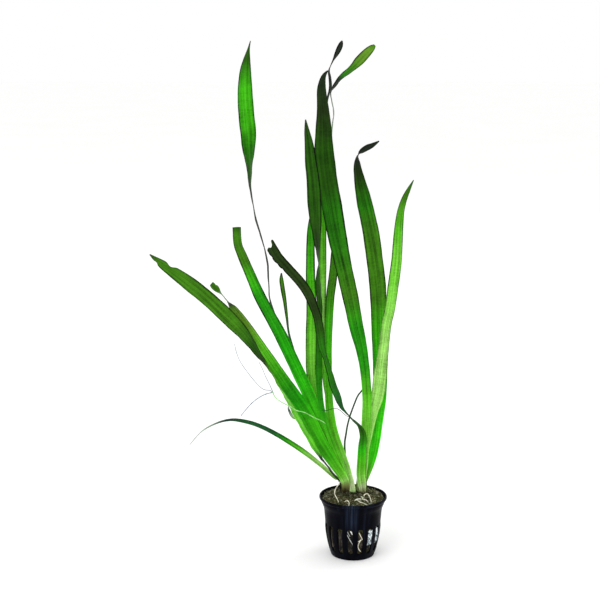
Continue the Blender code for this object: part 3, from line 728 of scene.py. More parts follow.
# %% [markdown]
# The right rosette
#
# The right crown carries the broadest leaves. One starts in the wool before it, crosses in front of all the
# others, twists twice and ends torn. Nothing in Blender tears by itself, and cutting with the Bisect tool
# would give a straight end. So the last few millimetres of the strap are pulled out or held back instead,
# column by column, and small bites narrow its edge where the photo shows notches.

# %% Broad leaves
make_leaf(
    "broad_leaf", "leaf_broad_middle", "bright_green_leaf",
    rooted(RIGHT_CROWN, (
        (7.5, 4.6, 55, 5.2, 0), (9, 4.5, 81.5, 6.6, 0), (10, 4.6, 104.5, 7.2, 0), (10.5, 4.8, 123.5, 7.4, 0),
        (9, 5.1, 144.5, 7.4, 0), (6, 5.5, 163.5, 9, 0), (1.5, 6, 182.5, 11, 0), (-2.5, 6, 202.5, 12, 0),
        (-10, 6, 236, 13, 0), (-14, 6, 255.5, 14.8, 0), (-17.5, 5.5, 275, 15.2, 0),
        (-21, 5, 294.5, 15.2, 0), (-23.5, 4, 315.5, 14.6, 0), (-24, 3, 333, 12, 0),
        (-24.5, 2.5, 347, 9, 0), (-25.6, 1.5, 360, 7.2, 0), (-25.4, 1, 366, 5.6, 0),
        (-24.4, 1, 371, 3.8, 0), (-22.8, 0.8, 374, 2.2, 0), (-21, 0.5, 376, 0.8, 0),
    )),
    ((0.0, "cream"), (0.05, "pale"), (0.16, "lime"), (0.24, "fresh"), (0.31, "leaf"), (0.4, "leaf"),
     (0.48, "olive"), (0.6, "deep"), (0.68, "deep"), (0.74, "forest"), (0.82, "forest"), (0.9, "moss"),
     (1.0, "night")),
    seed=11, band=-0.2,
)
make_leaf(
    "bent_tip_leaf", "leaf_bent_tip", "dark_green_leaf",
    rooted(RIGHT_CROWN, (
        (8.5, 6.9, 55, 4.4, 0), (14, 7.5, 72.5, 6.8, 0), (17.5, 8.5, 89.5, 7.6, 0), (19.5, 10, 107.5, 8.6, 0),
        (21, 11.5, 125.5, 10, 0), (21, 13.5, 144.5, 11.2, 0), (20, 17, 176.5, 11.8, 0),
        (19, 20.5, 206.5, 12.8, 0), (17, 23, 225.5, 12.8, 0), (14.5, 25, 244.5, 12.8, 0),
        (11.5, 27, 260.5, 12.4, 0), (8, 29, 276, 11.6, 0), (5, 30.5, 289, 9.2, 0), (3, 32, 299.5, 7, 25),
        (2.5, 33, 306, 5.6, 50), (3, 33.5, 311, 5, 84), (6, 34, 314, 5, 132), (10, 35, 316.5, 5, 150),
        (14.5, 36, 318.5, 3.8, 150), (19.5, 37, 321.5, 1, 150),
    )),
    ((0.0, "cream"), (0.05, "lime"), (0.1, "vivid"), (0.26, "vivid"), (0.36, "spring"), (0.46, "bright"),
     (0.54, "olive"), (0.72, "olive"), (0.79, "deep"), (0.85, "forest"), (0.88, "moss"), (0.92, "night"),
     (1.0, "night")),
    seed=12, band=-0.16,
)
make_leaf(
    "pale_right_leaf", "leaf_pale_right", "pale_green_leaf",
    rooted(RIGHT_CROWN, (
        (7.2, 5.8, 55, 4.4, 0), (9, 6, 79.5, 6.2, 0), (11.5, 6.3, 96.5, 7.6, 0), (15, 6.4, 113.5, 8.6, 0),
        (18.5, 6.2, 126.5, 9.8, 0), (20.5, 5, 142.5, 10.4, 0), (22.5, 3, 163, 8.2, 0),
        (24.5, -0.5, 184.5, 7.8, 0), (27, -3.5, 199.5, 8, 0), (29.5, -7.5, 222, 8.2, 0),
        (31, -10.5, 238.5, 7.8, 0), (31.5, -14, 255, 7, 0), (32, -16, 265.5, 6.2, 0),
        (33, -18, 274.5, 5.2, 0), (35, -19.5, 282.5, 4.3, 0), (38, -21, 290, 2.9, 0),
        (41.5, -23, 297.5, 0.6, 0),
    )),
    ((0.0, "cream"), (0.08, "pale"), (0.48, "pale"), (0.68, "lime"), (0.76, "lime"), (0.84, "fresh"),
     (0.93, "olive"), (1.0, "forest")),
    seed=13,
)
print("lengths in mm:", made_leaves)

# %% Dark leaves
make_leaf(
    "crossing_leaf", "leaf_dark_crossing", "dark_green_leaf",
    (
        (8.2, 3.2, 46.5, 4.4, 0), (7.4, 2.8, 52.5, 5.4, 0), (6.6, 2.5, 58, 6.6, 0), (6, 2.8, 65, 6.8, 0),
        (6.5, 2.5, 75.5, 6.8, 0), (7, 1.8, 87.5, 6.2, 0), (7.5, 1, 96, 5.4, 10), (5, 0, 103, 5, 50),
        (1.5, -1, 107, 4.4, 66),
        (-3, -2, 112, 4.4, 86), (-6.5, -3, 116.5, 4.4, 105), (-10, -4.5, 122, 5, 135),
        (-13.5, -6, 131, 5.6, 160), (-16.5, -7.5, 139, 5.6, 165), (-19, -9, 149.5, 5.6, 140),
        (-22, -10.5, 159, 5.6, 128), (-25, -12, 169.5, 6.4, 150), (-26.5, -14, 181.5, 6.6, 170),
        (-28.5, -16, 193.5, 6.4, 180), (-32, -17, 203.5, 6.6, 180), (-36, -18.5, 213, 7, 180),
        (-42, -20, 222, 7.2, 180), (-49.5, -21.5, 230.5, 7.2, 180), (-57.5, -23, 239.5, 7.6, 180),
        (-60.5, -23.8, 244.2, 7.8, 180), (-63, -24.6, 248.6, 7.8, 180),
    ),
    ((0.0, "bark"), (0.01, "husk"), (0.03, "cream"), (0.05, "pale"), (0.08, "lime"), (0.11, "fresh"),
     (0.165, "spring"), (0.205, "deep"), (0.24, "forest"), (0.35, "sea"), (0.48, "deep"), (0.6, "deep"),
     (0.66, "forest"), (0.72, "moss"), (1.0, "moss")),
    seed=14, band=-0.1,
    bites=((0.968, 0.008, 1, 0.16), (0.94, 0.009, 1, 0.12), (0.915, 0.008, 1, 0.14)),
    torn=((-0.6, 2.0), (-0.42, 4.4), (-0.26, 4.0), (-0.17, 1.2), (-0.08, 0.0), (0.08, -0.6), (0.25, 0.4),
          (0.42, -0.4), (0.6, -2.0)),
)
# The night stops at its tip are painted shade: the tip turns its shaded side to the camera.
make_leaf(
    "hooked_leaf", "leaf_dark_curled", "dark_green_leaf",
    rooted(RIGHT_CROWN, (
        (8, 8.4, 55, 3, 0), (10, 10, 90, 3.4, 0), (9.5, 13, 121.5, 3.4, 0), (6, 17, 159, 3.4, 0),
        (-2, 23, 199, 3.4, 0), (-10, 29.5, 237.5, 3.4, 0), (-17.5, 36.5, 276, 3.4, 0),
        (-22, 43, 314, 3.4, 0), (-23, 49.5, 341, 3.4, 30), (-20, 53.5, 353.5, 3.8, 68),
        (-18, 55.5, 361.5, 3.8, 56), (-18.3, 57, 369, 3.8, 56), (-19.2, 58.5, 374, 3.8, 66),
        (-17.8, 59.5, 378.5, 3.8, 86), (-15.6, 60.5, 382.5, 4, 74), (-13, 61.5, 387.5, 4.6, 45),
        (-10.4, 62.5, 393, 4.2, 10), (-9.2, 63.2, 396.2, 2.8, 0), (-8.7, 63.5, 397.7, 1, 0),
    )),
    ((0.0, "pale"), (0.15, "leaf"), (0.4, "deep"), (0.7, "slate"), (0.84, "slate"), (0.88, "night"),
     (1.0, "night")),
    seed=15, wave=0.15,
)
make_leaf(
    "plantlet_leaf", "leaf_plantlet", "grey_green_thread",
    (
        (-50.1, -12.5, 123.3, 0.8, 0), (-50.5, -13.4, 122, 1.2, 0), (-49.6, -13.4, 119.4, 1.8, 0),
        (-48, -13.2, 116, 2, 0), (-45.8, -13, 113.2, 1, 0),
    ),
    ((0.0, "mist"), (0.3, "slate"), (0.55, "mist"), (1.0, "pale")),
    seed=16, wave=0.0, edge=0.2,
)
print("lengths in mm:", made_leaves)

# %% [markdown]
# The net pot
#
# The pot is moulded from thin black plastic: a flat floor, a wall that flares, a collar that steps out, a
# rolled lip, and 16 upright slots that let the roots out. A Boolean could cut the slots, but it leaves
# ragged faces. Here the whole wall is drawn as by hand, one ring of edges after another, outside up, over
# the lip and down inside. The faces over each slot are then deleted on both sides and the two holes are
# bridged, which gives clean slot walls for the Bevel modifier to round.


# %% Drawing a round body ring by ring
def draw_rings(name, outline, segments, start_angle=0.0):
    """A round body extruded from ring to ring of (radius, height), in mm, and left open at both ends."""
    deselect_all()
    radius, height = outline[0]
    bpy.ops.mesh.primitive_circle_add(
        vertices=segments, radius=radius * MM, location=(0, 0, height * MM), rotation=(0, 0, start_angle)
    )
    bpy.ops.object.transform_apply(location=True, rotation=True, scale=True)
    item = bpy.context.object
    item.name = name
    bpy.ops.object.mode_set(mode="EDIT")
    bpy.ops.mesh.select_all(action="SELECT")
    for next_radius, next_height in outline[1:]:
        rise = (next_height - height) * MM
        bpy.ops.mesh.extrude_region_move(TRANSFORM_OT_translate={"value": (0, 0, rise)})
        grow = next_radius / radius
        bpy.ops.transform.resize(value=(grow, grow, 1), center_override=(0, 0, next_height * MM))
        radius, height = next_radius, next_height
    return item


print("rings are given as (radius, height) in mm")


# %% Closing a round body
TOUCHING = 0.01
MOST_INSET, INSET_SHARE = 1.5, 0.3


def pick_ring(item, ring):
    """In edit mode, selects the vertices on the ring of this radius and height in mm."""
    radius, height = ring

    def on_ring(co):
        off = max(abs(co.z / MM - height), abs(math.hypot(co.x, co.y) / MM - radius))
        return off < TOUCHING

    pick_verts(item, on_ring)


def close_ring(item, ring):
    """Fills this open ring with one face, and insets it once."""
    pick_ring(item, ring)
    bpy.ops.mesh.edge_face_add()
    bpy.ops.mesh.inset(thickness=min(MOST_INSET, INSET_SHARE * ring[0]) * MM)


def close_tip(item, ring):
    """Merges this small ring to one point."""
    pick_ring(item, ring)
    bpy.ops.mesh.merge(type="CENTER")


def seal(merge=None):
    """In edit mode, merges doubles, turns all faces outwards, and goes back to object mode."""
    bpy.ops.mesh.select_all(action="SELECT")
    if merge:
        bpy.ops.mesh.remove_doubles(threshold=merge * MM)
    bpy.ops.mesh.normals_make_consistent(inside=False)
    bpy.ops.object.mode_set(mode="OBJECT")


print("an end is inset by", MOST_INSET, "mm at most")

# %% The pot's wall
POT_SEGMENTS = 192
SLOT_COUNT, SLOT_COLUMNS = 16, 6
SLOT_FIRST_ANGLE = -8.2
SLOT_BOTTOM, SLOT_TOP = 6.5, 26.0
WALL_GAUGE = 1.2
# The outer wall below the collar: height and radius.
WALL = (
    (0.0, 16.9), (4.0, 18.3), (9.5, 19.8), (14.0, 20.7),
    (18.5, 21.5), (23.5, 21.9), (27.2, 21.8), (36.0, 22.6),
)


def wall_radius(height):
    """Radius of the outer wall below the collar: it flares upwards and swells a little over the slots."""
    for (low, start), (high, end) in zip(WALL, WALL[1:]):
        if height <= high:
            return start + (end - start) * (height - low) / (high - low)
    return WALL[-1][1]


column_angle = math.tau / POT_SEGMENTS
start_angle = math.radians(SLOT_FIRST_ANGLE - 90) + column_angle * SLOT_COLUMNS / 2
heights = (2.0, 4.0, SLOT_BOTTOM, 9.5, 13.0, 16.5, 20.0, 23.0, SLOT_TOP, 27.2, 31.0, 36.0)
outside = [(16.4, 0.0), (16.85, 0.15), (17.15, 0.6)] + [(wall_radius(h), h) for h in heights]
collar = [(23.1, 39.4), (23.5, 40.0), (24.5, 42.4), (24.8, 43.2), (24.9, 44.4)]
lip = [(25.1, 45.0), (26.1, 45.6), (26.45, 46.2), (26.5, 46.9), (26.4, 47.5), (26.1, 47.9), (25.7, 48.0)]
mouth = [(25.35, 47.8), (25.1, 47.2), (24.8, 45.6), (24.0, 43.2), (22.2, 40.2)]
inside = [(wall_radius(h) - WALL_GAUGE, h) for h in heights[:1:-1]] + [(15.9, 2.2), (15.4, 1.6)]

pot_rings = outside + collar + lip + mouth + inside
pot = draw_rings("pot_shell", pot_rings, POT_SEGMENTS, start_angle)
close_ring(pot, pot_rings[0])
close_ring(pot, pot_rings[-1])
print("pot:", len(pot_rings), "rings of", POT_SEGMENTS)


# %% Picking faces and open edges
def pick_faces(item, wanted):
    """In edit mode, selects the faces whose middle passes the test, and nothing else."""
    bpy.ops.mesh.select_mode(type="FACE")
    bpy.ops.mesh.select_all(action="DESELECT")
    shape = bmesh.from_edit_mesh(item.data)
    chosen = [face for face in shape.faces if wanted(face.calc_center_median())]
    for face in chosen:
        face.select_set(True)
    bmesh.update_edit_mesh(item.data)
    return len(chosen)


def pick_open_edges(item, wanted):
    """In edit mode, selects the open edges whose middle passes the test, and nothing else."""
    bpy.ops.mesh.select_mode(type="EDGE")
    bpy.ops.mesh.select_all(action="DESELECT")
    shape = bmesh.from_edit_mesh(item.data)
    for edge in shape.edges:
        if edge.is_boundary and wanted((edge.verts[0].co + edge.verts[1].co) / 2):
            edge.select_set(True)
    bmesh.update_edit_mesh(item.data)


print("faces and edges are picked by their middle, in metres")

# %% The slots
SLOT_PITCH = math.tau / SLOT_COUNT
# A slot's end is pushed out twice, within so many columns of its middle, which rounds it.
END_COLUMNS = (2.1, 1.1)
END_PUSH, END_REACH = 0.35, 0.4
WALL_DOUBLES = 0.01


def nearest_slot(co):
    """The number of the slot nearest to this place, and the angle from that slot's middle."""
    angle = math.atan2(co.x, -co.y) - math.radians(SLOT_FIRST_ANGLE)
    k = round(angle / SLOT_PITCH)
    return k % SLOT_COUNT, abs(angle - k * SLOT_PITCH)


def in_slot(co, number=None):
    """Whether this place is level with a slot, or with the slot of this number."""
    k, off = nearest_slot(co)
    return off < column_angle * (SLOT_COLUMNS / 2 + 0.1) and number in (None, k)


def by_slot_end(co, height, columns):
    """Whether this place is at the height of a slot's end, within so many columns of the slot's middle."""
    return abs(co.z - height * MM) < END_REACH * MM and nearest_slot(co)[1] < column_angle * columns


for end, push in ((SLOT_TOP, END_PUSH), (SLOT_BOTTOM, -END_PUSH)):
    for columns in END_COLUMNS:
        pick_verts(pot, lambda co: by_slot_end(co, end, columns))
        bpy.ops.transform.translate(value=(0, 0, push * MM))
deleted = pick_faces(pot, lambda co: SLOT_BOTTOM * MM < co.z < SLOT_TOP * MM and in_slot(co))
bpy.ops.mesh.delete(type="FACE")
for k in range(SLOT_COUNT):
    pick_open_edges(pot, lambda co: in_slot(co, k))
    bpy.ops.mesh.bridge_edge_loops()
seal(merge=WALL_DOUBLES)
print("slot faces deleted:", deleted, "and", SLOT_COUNT, "slots bridged")

# %% Soft edges on the pot
SOFT_EDGE, SOFT_STEPS, SHARP_FROM = 0.25, 2, 50

pick_only(pot)
soften = pot.modifiers.new("soft_edges", "BEVEL")
soften.width = SOFT_EDGE * MM
soften.segments = SOFT_STEPS
soften.limit_method = "ANGLE"
soften.angle_limit = math.radians(SHARP_FROM)
bpy.ops.object.modifier_apply(modifier=soften.name)
print("pot faces:", len(pot.data.polygons))

# %% [markdown]
# The pot's plastic
#
# Moulded black plastic isn't quite black: it gives back a little of the sky, so it looks blue, and light
# runs down its wall in fine lines. A plain glossy black would show neither, so both are painted into its
# colour: noise drawn out along the wall gives the blue cast and streaks of painted reflection, a soft band
# across the front gives a painted sheen with fine lines in it, and fine noise in the roughness gives the
# dust.

# %% The pot's finish
# Near-black plastic; its lighter, bluer stops are painted reflection streaks.
PLASTIC_AND_REFLECTION_TINTS = ((0.3, (3, 3, 6)), (0.55, (8, 9, 17)), (0.8, (24, 28, 42)))
# Painted sheen: a band across the front, between these sides, brightening over these heights.
PAINTED_SHEEN_TINTS = ((0.0, (0, 0, 0)), (0.3, (38, 48, 68)), (0.6, (36, 46, 64)), (1.0, (0, 0, 0)))
PAINTED_SHEEN_SIDES = (-7.5 * MM, 4.5 * MM)
PAINTED_SHEEN_HEIGHTS = (23 * MM, 33 * MM)


def plastic_finish():
    """Black plastic with painted reflection: a blue cast and streaks down its wall, a painted sheen, dust on
    its gloss.
    """
    look, tree, surface = new_finish("net_pot_plastic", 0.3, 0.018)
    spot = object_place(tree)
    place = put(tree, "ShaderNodeSeparateXYZ", {"Vector": spot}).outputs
    streaks = noise(tree, stretched(tree, spot, (1, 1, 0.02)), 260.0, 3.0)
    colour = ramp(tree, streaks, PLASTIC_AND_REFLECTION_TINTS)
    # The painted sheen band, with fine painted lines in it, is added on top of the colour.
    band = ramp(tree, rescale(tree, place["X"], *PAINTED_SHEEN_SIDES), PAINTED_SHEEN_TINTS)
    fine = noise(tree, stretched(tree, spot, (1, 0, 0.012)), 1500.0, 2.0)
    rising = rescale(tree, place["Z"], *PAINTED_SHEEN_HEIGHTS)
    lines = reckon(tree, "MULTIPLY", rescale(tree, fine, 0.42, 0.66), rising)
    lit = put(tree, "ShaderNodeVectorMath", {0: band, 1: lines, 2: colour}, operation="MULTIPLY_ADD")
    tree.links.new(lit.outputs["Vector"], surface.inputs["Base Color"])
    dust = rescale(tree, noise(tree, spot, 700.0, 4.0), 0.3, 0.7, 0.22, 0.42)
    tree.links.new(dust, surface.inputs["Roughness"])
    relief(tree, surface, streaks, 0.15, 0.0003)
    return look


pot.data.materials.append(plastic_finish())
finish_piece(pot, "net_pot", angle=35)
print("sheen from", PAINTED_SHEEN_SIDES[0], "to", PAINTED_SHEEN_SIDES[1], "m")

# %% [markdown]
# The plug of mineral wool
#
# Mineral wool is a felt of fine fibres, pressed into a plug that fills the pot and bulges at its top. The
# body is drawn ring by ring, as the pot is, just inside the wall. A Displace modifier then dents it,
# strongly on top and weakly where the wall holds it. Sculpting would do this too, but not twice alike.

# %% The plug's body
WOOL_EDGE_HEIGHT, WOOL_EDGE_RADIUS, WOOL_RISE = 46.4, 24.2, 2.8
WOOL_ROOM = 0.5
WOOL_SEGMENTS = 96
SIDE_HEIGHTS = (4.0, 8.0, 12.0, 16.0, 20.0, 24.0, 28.0, 36.0)
TOP_RADII = (23.8, 22.4, 21, 19.5, 18, 16, 14, 12, 10, 8, 6, 4, 2, 0.8)


def wool_height(radius):
    """Height of the plug's smooth top at this distance from the pot's axis."""
    return WOOL_EDGE_HEIGHT + WOOL_RISE * (1.0 - (radius / WOOL_EDGE_RADIUS) ** 2)


side_rings = [(wall_radius(h) - WALL_GAUGE - WOOL_ROOM, h) for h in SIDE_HEIGHTS]
plug_rings = [(15.0, 2.2)] + side_rings + [(22.0, 41.0), (23.6, 44.4), (24.3, 45.8)]
plug_rings += [(radius, wool_height(radius)) for radius in TOP_RADII]
plug = draw_rings("wool_plug", plug_rings, WOOL_SEGMENTS)
close_tip(plug, plug_rings[-1])
close_ring(plug, plug_rings[0])
seal()
print("plug:", len(plug_rings), "rings, top at", round(wool_height(0), 1), "mm")

# %% Dents
DENTED_FROM, SIDE_DENTS = 45.5, 0.25
DENT_SIZE, DENT_DEPTH, DENT_LEVEL = 6.0, 2.4, 0.62

dents = plug.vertex_groups.new(name="dents")
for vert in plug.data.vertices:
    dents.add([vert.index], 1.0 if vert.co.z > DENTED_FROM * MM else SIDE_DENTS, "REPLACE")
lumps = bpy.data.textures.new("lumps", type="CLOUDS")
lumps.noise_scale = DENT_SIZE * MM
lumps.noise_depth = 2
press = plug.modifiers.new("dents", "DISPLACE")
press.texture = lumps
press.texture_coords = "LOCAL"
press.strength = DENT_DEPTH * MM
press.mid_level = DENT_LEVEL
press.vertex_group = "dents"
bpy.ops.object.modifier_apply(modifier=press.name)
print("plug faces:", len(plug.data.polygons))

# %% [markdown]
# The wool's colours
#
# Wet wool is stained: brown where roots have died, green where algae grow, pale where it is dry. One colour
# ramp over fine noise gives the clumps. Coarser noise makes them lighter, darker, redder or greener, and two
# distances paint shade on the wool: low in the pot, and under the crowns.

# %% The wool's finish
DAMP_WOOL = ((0.3, (26, 24, 14)), (0.45, (58, 58, 32)), (0.56, (92, 94, 58)), (0.7, (142, 144, 110)))
# Painted shade: the wool darkens below the upper of these heights, and within this reach of the crowns.
PAINTED_SHADE_HEIGHTS = (36 * MM, 46 * MM)
CROWN_SHADE, SHADE_REACH = (-0.002, 0.003, 0.049), (6 * MM, 14 * MM)


def wool_finish(name, stops, scale):
    """Stained wool: colours changing from clump to clump, painted shade low down and by the crowns, a rough
    grain.
    """
    look, tree, surface = new_finish(name, 0.95, 0.05)
    spot = object_place(tree)
    height = put(tree, "ShaderNodeSeparateXYZ", {"Vector": spot}).outputs["Z"]
    stains = rescale(tree, noise(tree, spot, 130.0, 2.0), 0.35, 0.65, 0.6, 1.45)
    light = reckon(tree, "MULTIPLY", rescale(tree, height, *PAINTED_SHADE_HEIGHTS, 0.6, 0.74), stains)
    away = put(tree, "ShaderNodeVectorMath", {0: spot, 1: CROWN_SHADE}, operation="DISTANCE")
    light = reckon(tree, "MULTIPLY", light, rescale(tree, away.outputs["Value"], *SHADE_REACH, 0.5, 1.0))
    hue = rescale(tree, noise(tree, spot, 190.0, 1.0), 0.38, 0.62, 0.445, 0.515)
    colour = ramp(tree, noise(tree, spot, scale, 6.0, 0.7), stops)
    tree.links.new(shade(tree, colour, light, hue), surface.inputs["Base Color"])
    relief(tree, surface, noise(tree, spot, 2200.0, 3.0), 0.6, 0.0006)
    return look


plug.data.materials.append(wool_finish("damp_wool", DAMP_WOOL, 420.0))
finish_piece(plug, "rock_wool_plug", angle=70)
print("the wool is dimmed below", PAINTED_SHADE_HEIGHTS[1], "m")

# %% [markdown]
# The felt of fibres
#
# A bumpy body and a stained material don't give wool its ragged outline: only real fibres do. Hair
# particles would be the quick way, but the part has to be plain mesh. So one fibre of a few faces is
# modelled, and a few thousand copies of it, each bent its own way, are joined in one mesh. They lie on the
# plug's top, and behind the slots, where they fill the openings.

# %% One fibre
FIBRE_RADIUS = 0.6
FIBRE_STEPS = ((0.3, 1.6), (0.6, 1.0), (1.0, 0.35))

deselect_all()
bpy.ops.mesh.primitive_circle_add(vertices=3, radius=FIBRE_RADIUS, fill_type="NGON")
fibre = bpy.context.object
fibre.name = "master_fibre"
bpy.ops.object.mode_set(mode="EDIT")
bpy.ops.mesh.select_all(action="SELECT")
for reach, grow in FIBRE_STEPS:
    rise = reach - max(vert.co.z for vert in bmesh.from_edit_mesh(fibre.data).verts)
    bpy.ops.mesh.extrude_region_move(TRANSFORM_OT_translate={"value": (0, 0, rise)})
    bpy.ops.transform.resize(value=(grow, grow, 1))
seal()
fibre.hide_render = True
print("fibre faces:", len(fibre.data.polygons))


# %% Joining copies of the fibre
SLANT = Vector((0.3, 0.4, 0.86))


def felt(name, placements, look):
    """Joins bent copies of the fibre in one mesh: each from start to end, bowed by bend, in mm."""
    corners = [vert.co.copy() for vert in fibre.data.vertices]
    sides = [tuple(face.vertices) for face in fibre.data.polygons]
    verts, faces = [], []
    for start, end, bend, radius in placements:
        run = end - start
        one = run.cross(SLANT).normalized()
        two = run.cross(one).normalized()
        first = len(verts)
        for co in corners:
            place = start + run * co.z + bend * (4 * co.z * (1 - co.z))
            verts.append((place + one * (co.x * radius) + two * (co.y * radius)) * MM)
        faces += [tuple(first + index for index in face) for face in sides]
    data = bpy.data.meshes.new(name)
    data.from_pydata(verts, [], faces)
    data.materials.append(look)
    piece = bpy.data.objects.new(name, data)
    bpy.context.scene.collection.objects.link(piece)
    finish_piece(piece, None, angle=80)
    print(name, "has", len(placements), "fibres")


# %% Where fibres lie
FELT_RADIUS, FELT_LIMIT = 24.0, 24.4
TOP_GAUGE, TOP_SAG = (0.07, 0.16), 0.22
SLOT_SPREAD, SLOT_SAG = 6.5, 0.15
CROSSBAR_ROOM = 0.5


def top_fibres(chance, count, reach, inner=0.0):
    """Fibres that lie over the plug's top, this way and that."""
    rows = []
    for _ in range(count):
        radius, angle = FELT_RADIUS * math.sqrt(chance.random()), chance.uniform(0, math.tau)
        radius = inner + radius * (FELT_RADIUS - inner) / FELT_RADIUS
        start = Vector((radius * math.cos(angle), radius * math.sin(angle), wool_height(radius)))
        start.z -= chance.uniform(0.0, 1.0)
        heading, length = chance.uniform(0, math.tau), chance.uniform(*reach)
        end = start + Vector((math.cos(heading), math.sin(heading), chance.uniform(-0.35, 0.35))) * length
        if math.hypot(end.x, end.y) > FELT_LIMIT:
            continue
        bend = Vector((chance.uniform(-1, 1), chance.uniform(-1, 1), chance.uniform(-0.2, 0.8)))
        rows.append((start, end, bend * (TOP_SAG * length), chance.uniform(*TOP_GAUGE)))
    return rows


def slot_fibres(chance, count, slots, reach, gauge, lowest=SLOT_BOTTOM + CROSSBAR_ROOM, depth=(0.7, 1.7)):
    """Fibres that press against the slots from inside, mostly upright."""
    rows = []
    for _ in range(count):
        slot_angle = SLOT_FIRST_ANGLE + 360 / SLOT_COUNT * chance.choice(slots)
        angle = math.radians(slot_angle + chance.uniform(-SLOT_SPREAD, SLOT_SPREAD))
        height = chance.uniform(lowest, SLOT_TOP - 1)
        out = wall_radius(height) - chance.uniform(*depth)
        start = Vector((out * math.sin(angle), -out * math.cos(angle), height))
        lean, length = chance.uniform(-0.5, 0.5), chance.uniform(*reach)
        level = Vector((math.cos(angle), math.sin(angle), 0))
        end = start + (level * math.sin(lean) + Vector((0, 0, math.cos(lean)))) * length
        if end.z > SLOT_TOP - CROSSBAR_ROOM:
            continue
        bend = level * chance.uniform(-SLOT_SAG, SLOT_SAG) * length
        rows.append((start, end, bend, chance.uniform(*gauge)))
    return rows


print("fibres end within", FELT_LIMIT, "mm of the pot's axis")

# %% The felt pieces
BROWN_FELT = ((0.32, (24, 24, 14)), (0.45, (66, 68, 40)), (0.54, (130, 134, 94)), (0.62, (226, 230, 206)))
WHITE_FELT = ((0.38, (50, 56, 60)), (0.46, (186, 200, 206)), (0.56, (240, 248, 250)), (0.7, (255, 255, 255)))
RIM_FELT = ((0.4, (84, 92, 70)), (0.52, (158, 168, 144)), (0.66, (228, 234, 218)))
DULL_FELT = ((0.34, (20, 19, 18)), (0.5, (66, 62, 56)), (0.64, (122, 117, 106)))
ALL_SLOTS = tuple(range(SLOT_COUNT))
WHITE_SLOTS = (2, 3)


def tuft_finish(name, stops):
    """Bleached fibres, brighter than the wool, with painted shade in the gaps between the clumps."""
    look, tree, surface = new_finish(name, 0.8, 0.08)
    colour = ramp(tree, noise(tree, object_place(tree), 480.0, 4.0), stops)
    tree.links.new(colour, surface.inputs["Base Color"])
    return look


chance = random.Random(31)
felt("top_fibres", top_fibres(chance, 3600, (1.5, 5.0)),
     wool_finish("brown_felt", BROWN_FELT, 500.0))
felt("slot_fibres", slot_fibres(chance, 2600, ALL_SLOTS, (2.0, 6.0), (0.08, 0.2)),
     wool_finish("dull_felt", DULL_FELT, 350.0))
felt("pale_tufts", slot_fibres(chance, 520, WHITE_SLOTS, (1.2, 3.4), (0.14, 0.32), 12.5, (0.3, 1.2)),
     tuft_finish("white_felt", WHITE_FELT))
felt("rim_bits", top_fibres(chance, 260, (0.8, 2.6), 20.0),
     tuft_finish("rim_tufts", RIM_FELT))

# %% [markdown]
# Crowns
#
# Each rosette stands on a short stem wrapped in the dried bases of old leaves, like the skin of an onion.
# The stem is a small round body drawn ring by ring, and its skins are short copies of the same
# strap, cupped around it. A Cylinder with a Subdivision Surface would be quicker, and as smooth as a candle.


# %% Papery skin
def sheath_finish(name, stops, rough):
    """Papery skin: streaks along the sheath over a change of colour."""
    look, tree, surface = new_finish(name, rough, 0.15)
    streaks = noise(tree, stretched(tree, object_place(tree), (1, 1, 0.18)), 520.0, 4.0)
    tree.links.new(ramp(tree, streaks, stops), surface.inputs["Base Color"])
    relief(tree, surface, streaks, 0.5, 0.0004)
    return look


OLD_SKIN = ((0.3, (30, 26, 16)), (0.48, (58, 54, 32)), (0.62, (96, 98, 58)), (0.75, (140, 156, 98)))
# The right stem's skin is its own live green, darkened by painted shade of the crown among its leaves.
LIVE_SKIN_IN_SHADE = ((0.3, (44, 62, 24)), (0.5, (96, 124, 58)), (0.7, (170, 190, 124)))
old_skin = sheath_finish("old_skin", OLD_SKIN, 0.75)
live_skin_in_shade = sheath_finish("live_skin_in_shade", LIVE_SKIN_IN_SHADE, 0.45)
print("skins:", old_skin.name, live_skin_in_shade.name)

# %% Crown bodies and their skins
CROWN_RINGS = ((0.7, 46.5), (0.85, 49.0), (1.0, 51.0), (0.95, 53.0), (0.75, 54.6), (0.4, 55.4), (0.1, 55.6))
CROWN_SEGMENTS = 32
# A skin's stations: share of its height, how far out of the body it stands, and how much it then leans out.
SKIN_STATIONS = ((0.0, 0.8, 0.0), (0.3, 1.1, 0.0), (0.6, 1.12, 0.0), (0.85, 1.1, 0.3), (1.0, 1.1, 0.7))
SKIN_FOOT, SKIN_GAUGE, SKIN_CUP = 48.0, 0.3, 3.0
SKIN_SEED = 400


def crown_skin(name, place, radii, degrees, top, lean, width):
    """A cupped copy of the strap that stands round a crown at this angle, up to the height top."""
    angle = math.radians(degrees)
    out = Vector((math.sin(angle) * radii[0], -math.cos(angle) * radii[1]))
    route = []
    for share, flare, turned_out in SKIN_STATIONS:
        spot = Vector(place) + out * (flare + turned_out * lean)
        narrow = 1.0 - 0.75 * max(0.0, share - 0.5) / 0.5
        route.append((spot.x, spot.y, SKIN_FOOT + (top - SKIN_FOOT) * share, width * narrow, -degrees))
    skin = copy_strap(name + "_skin")
    carry(skin, route, random.Random(round(degrees) + SKIN_SEED), wave=0.15, cup=SKIN_CUP)
    thicken(skin, SKIN_GAUGE)
    return skin


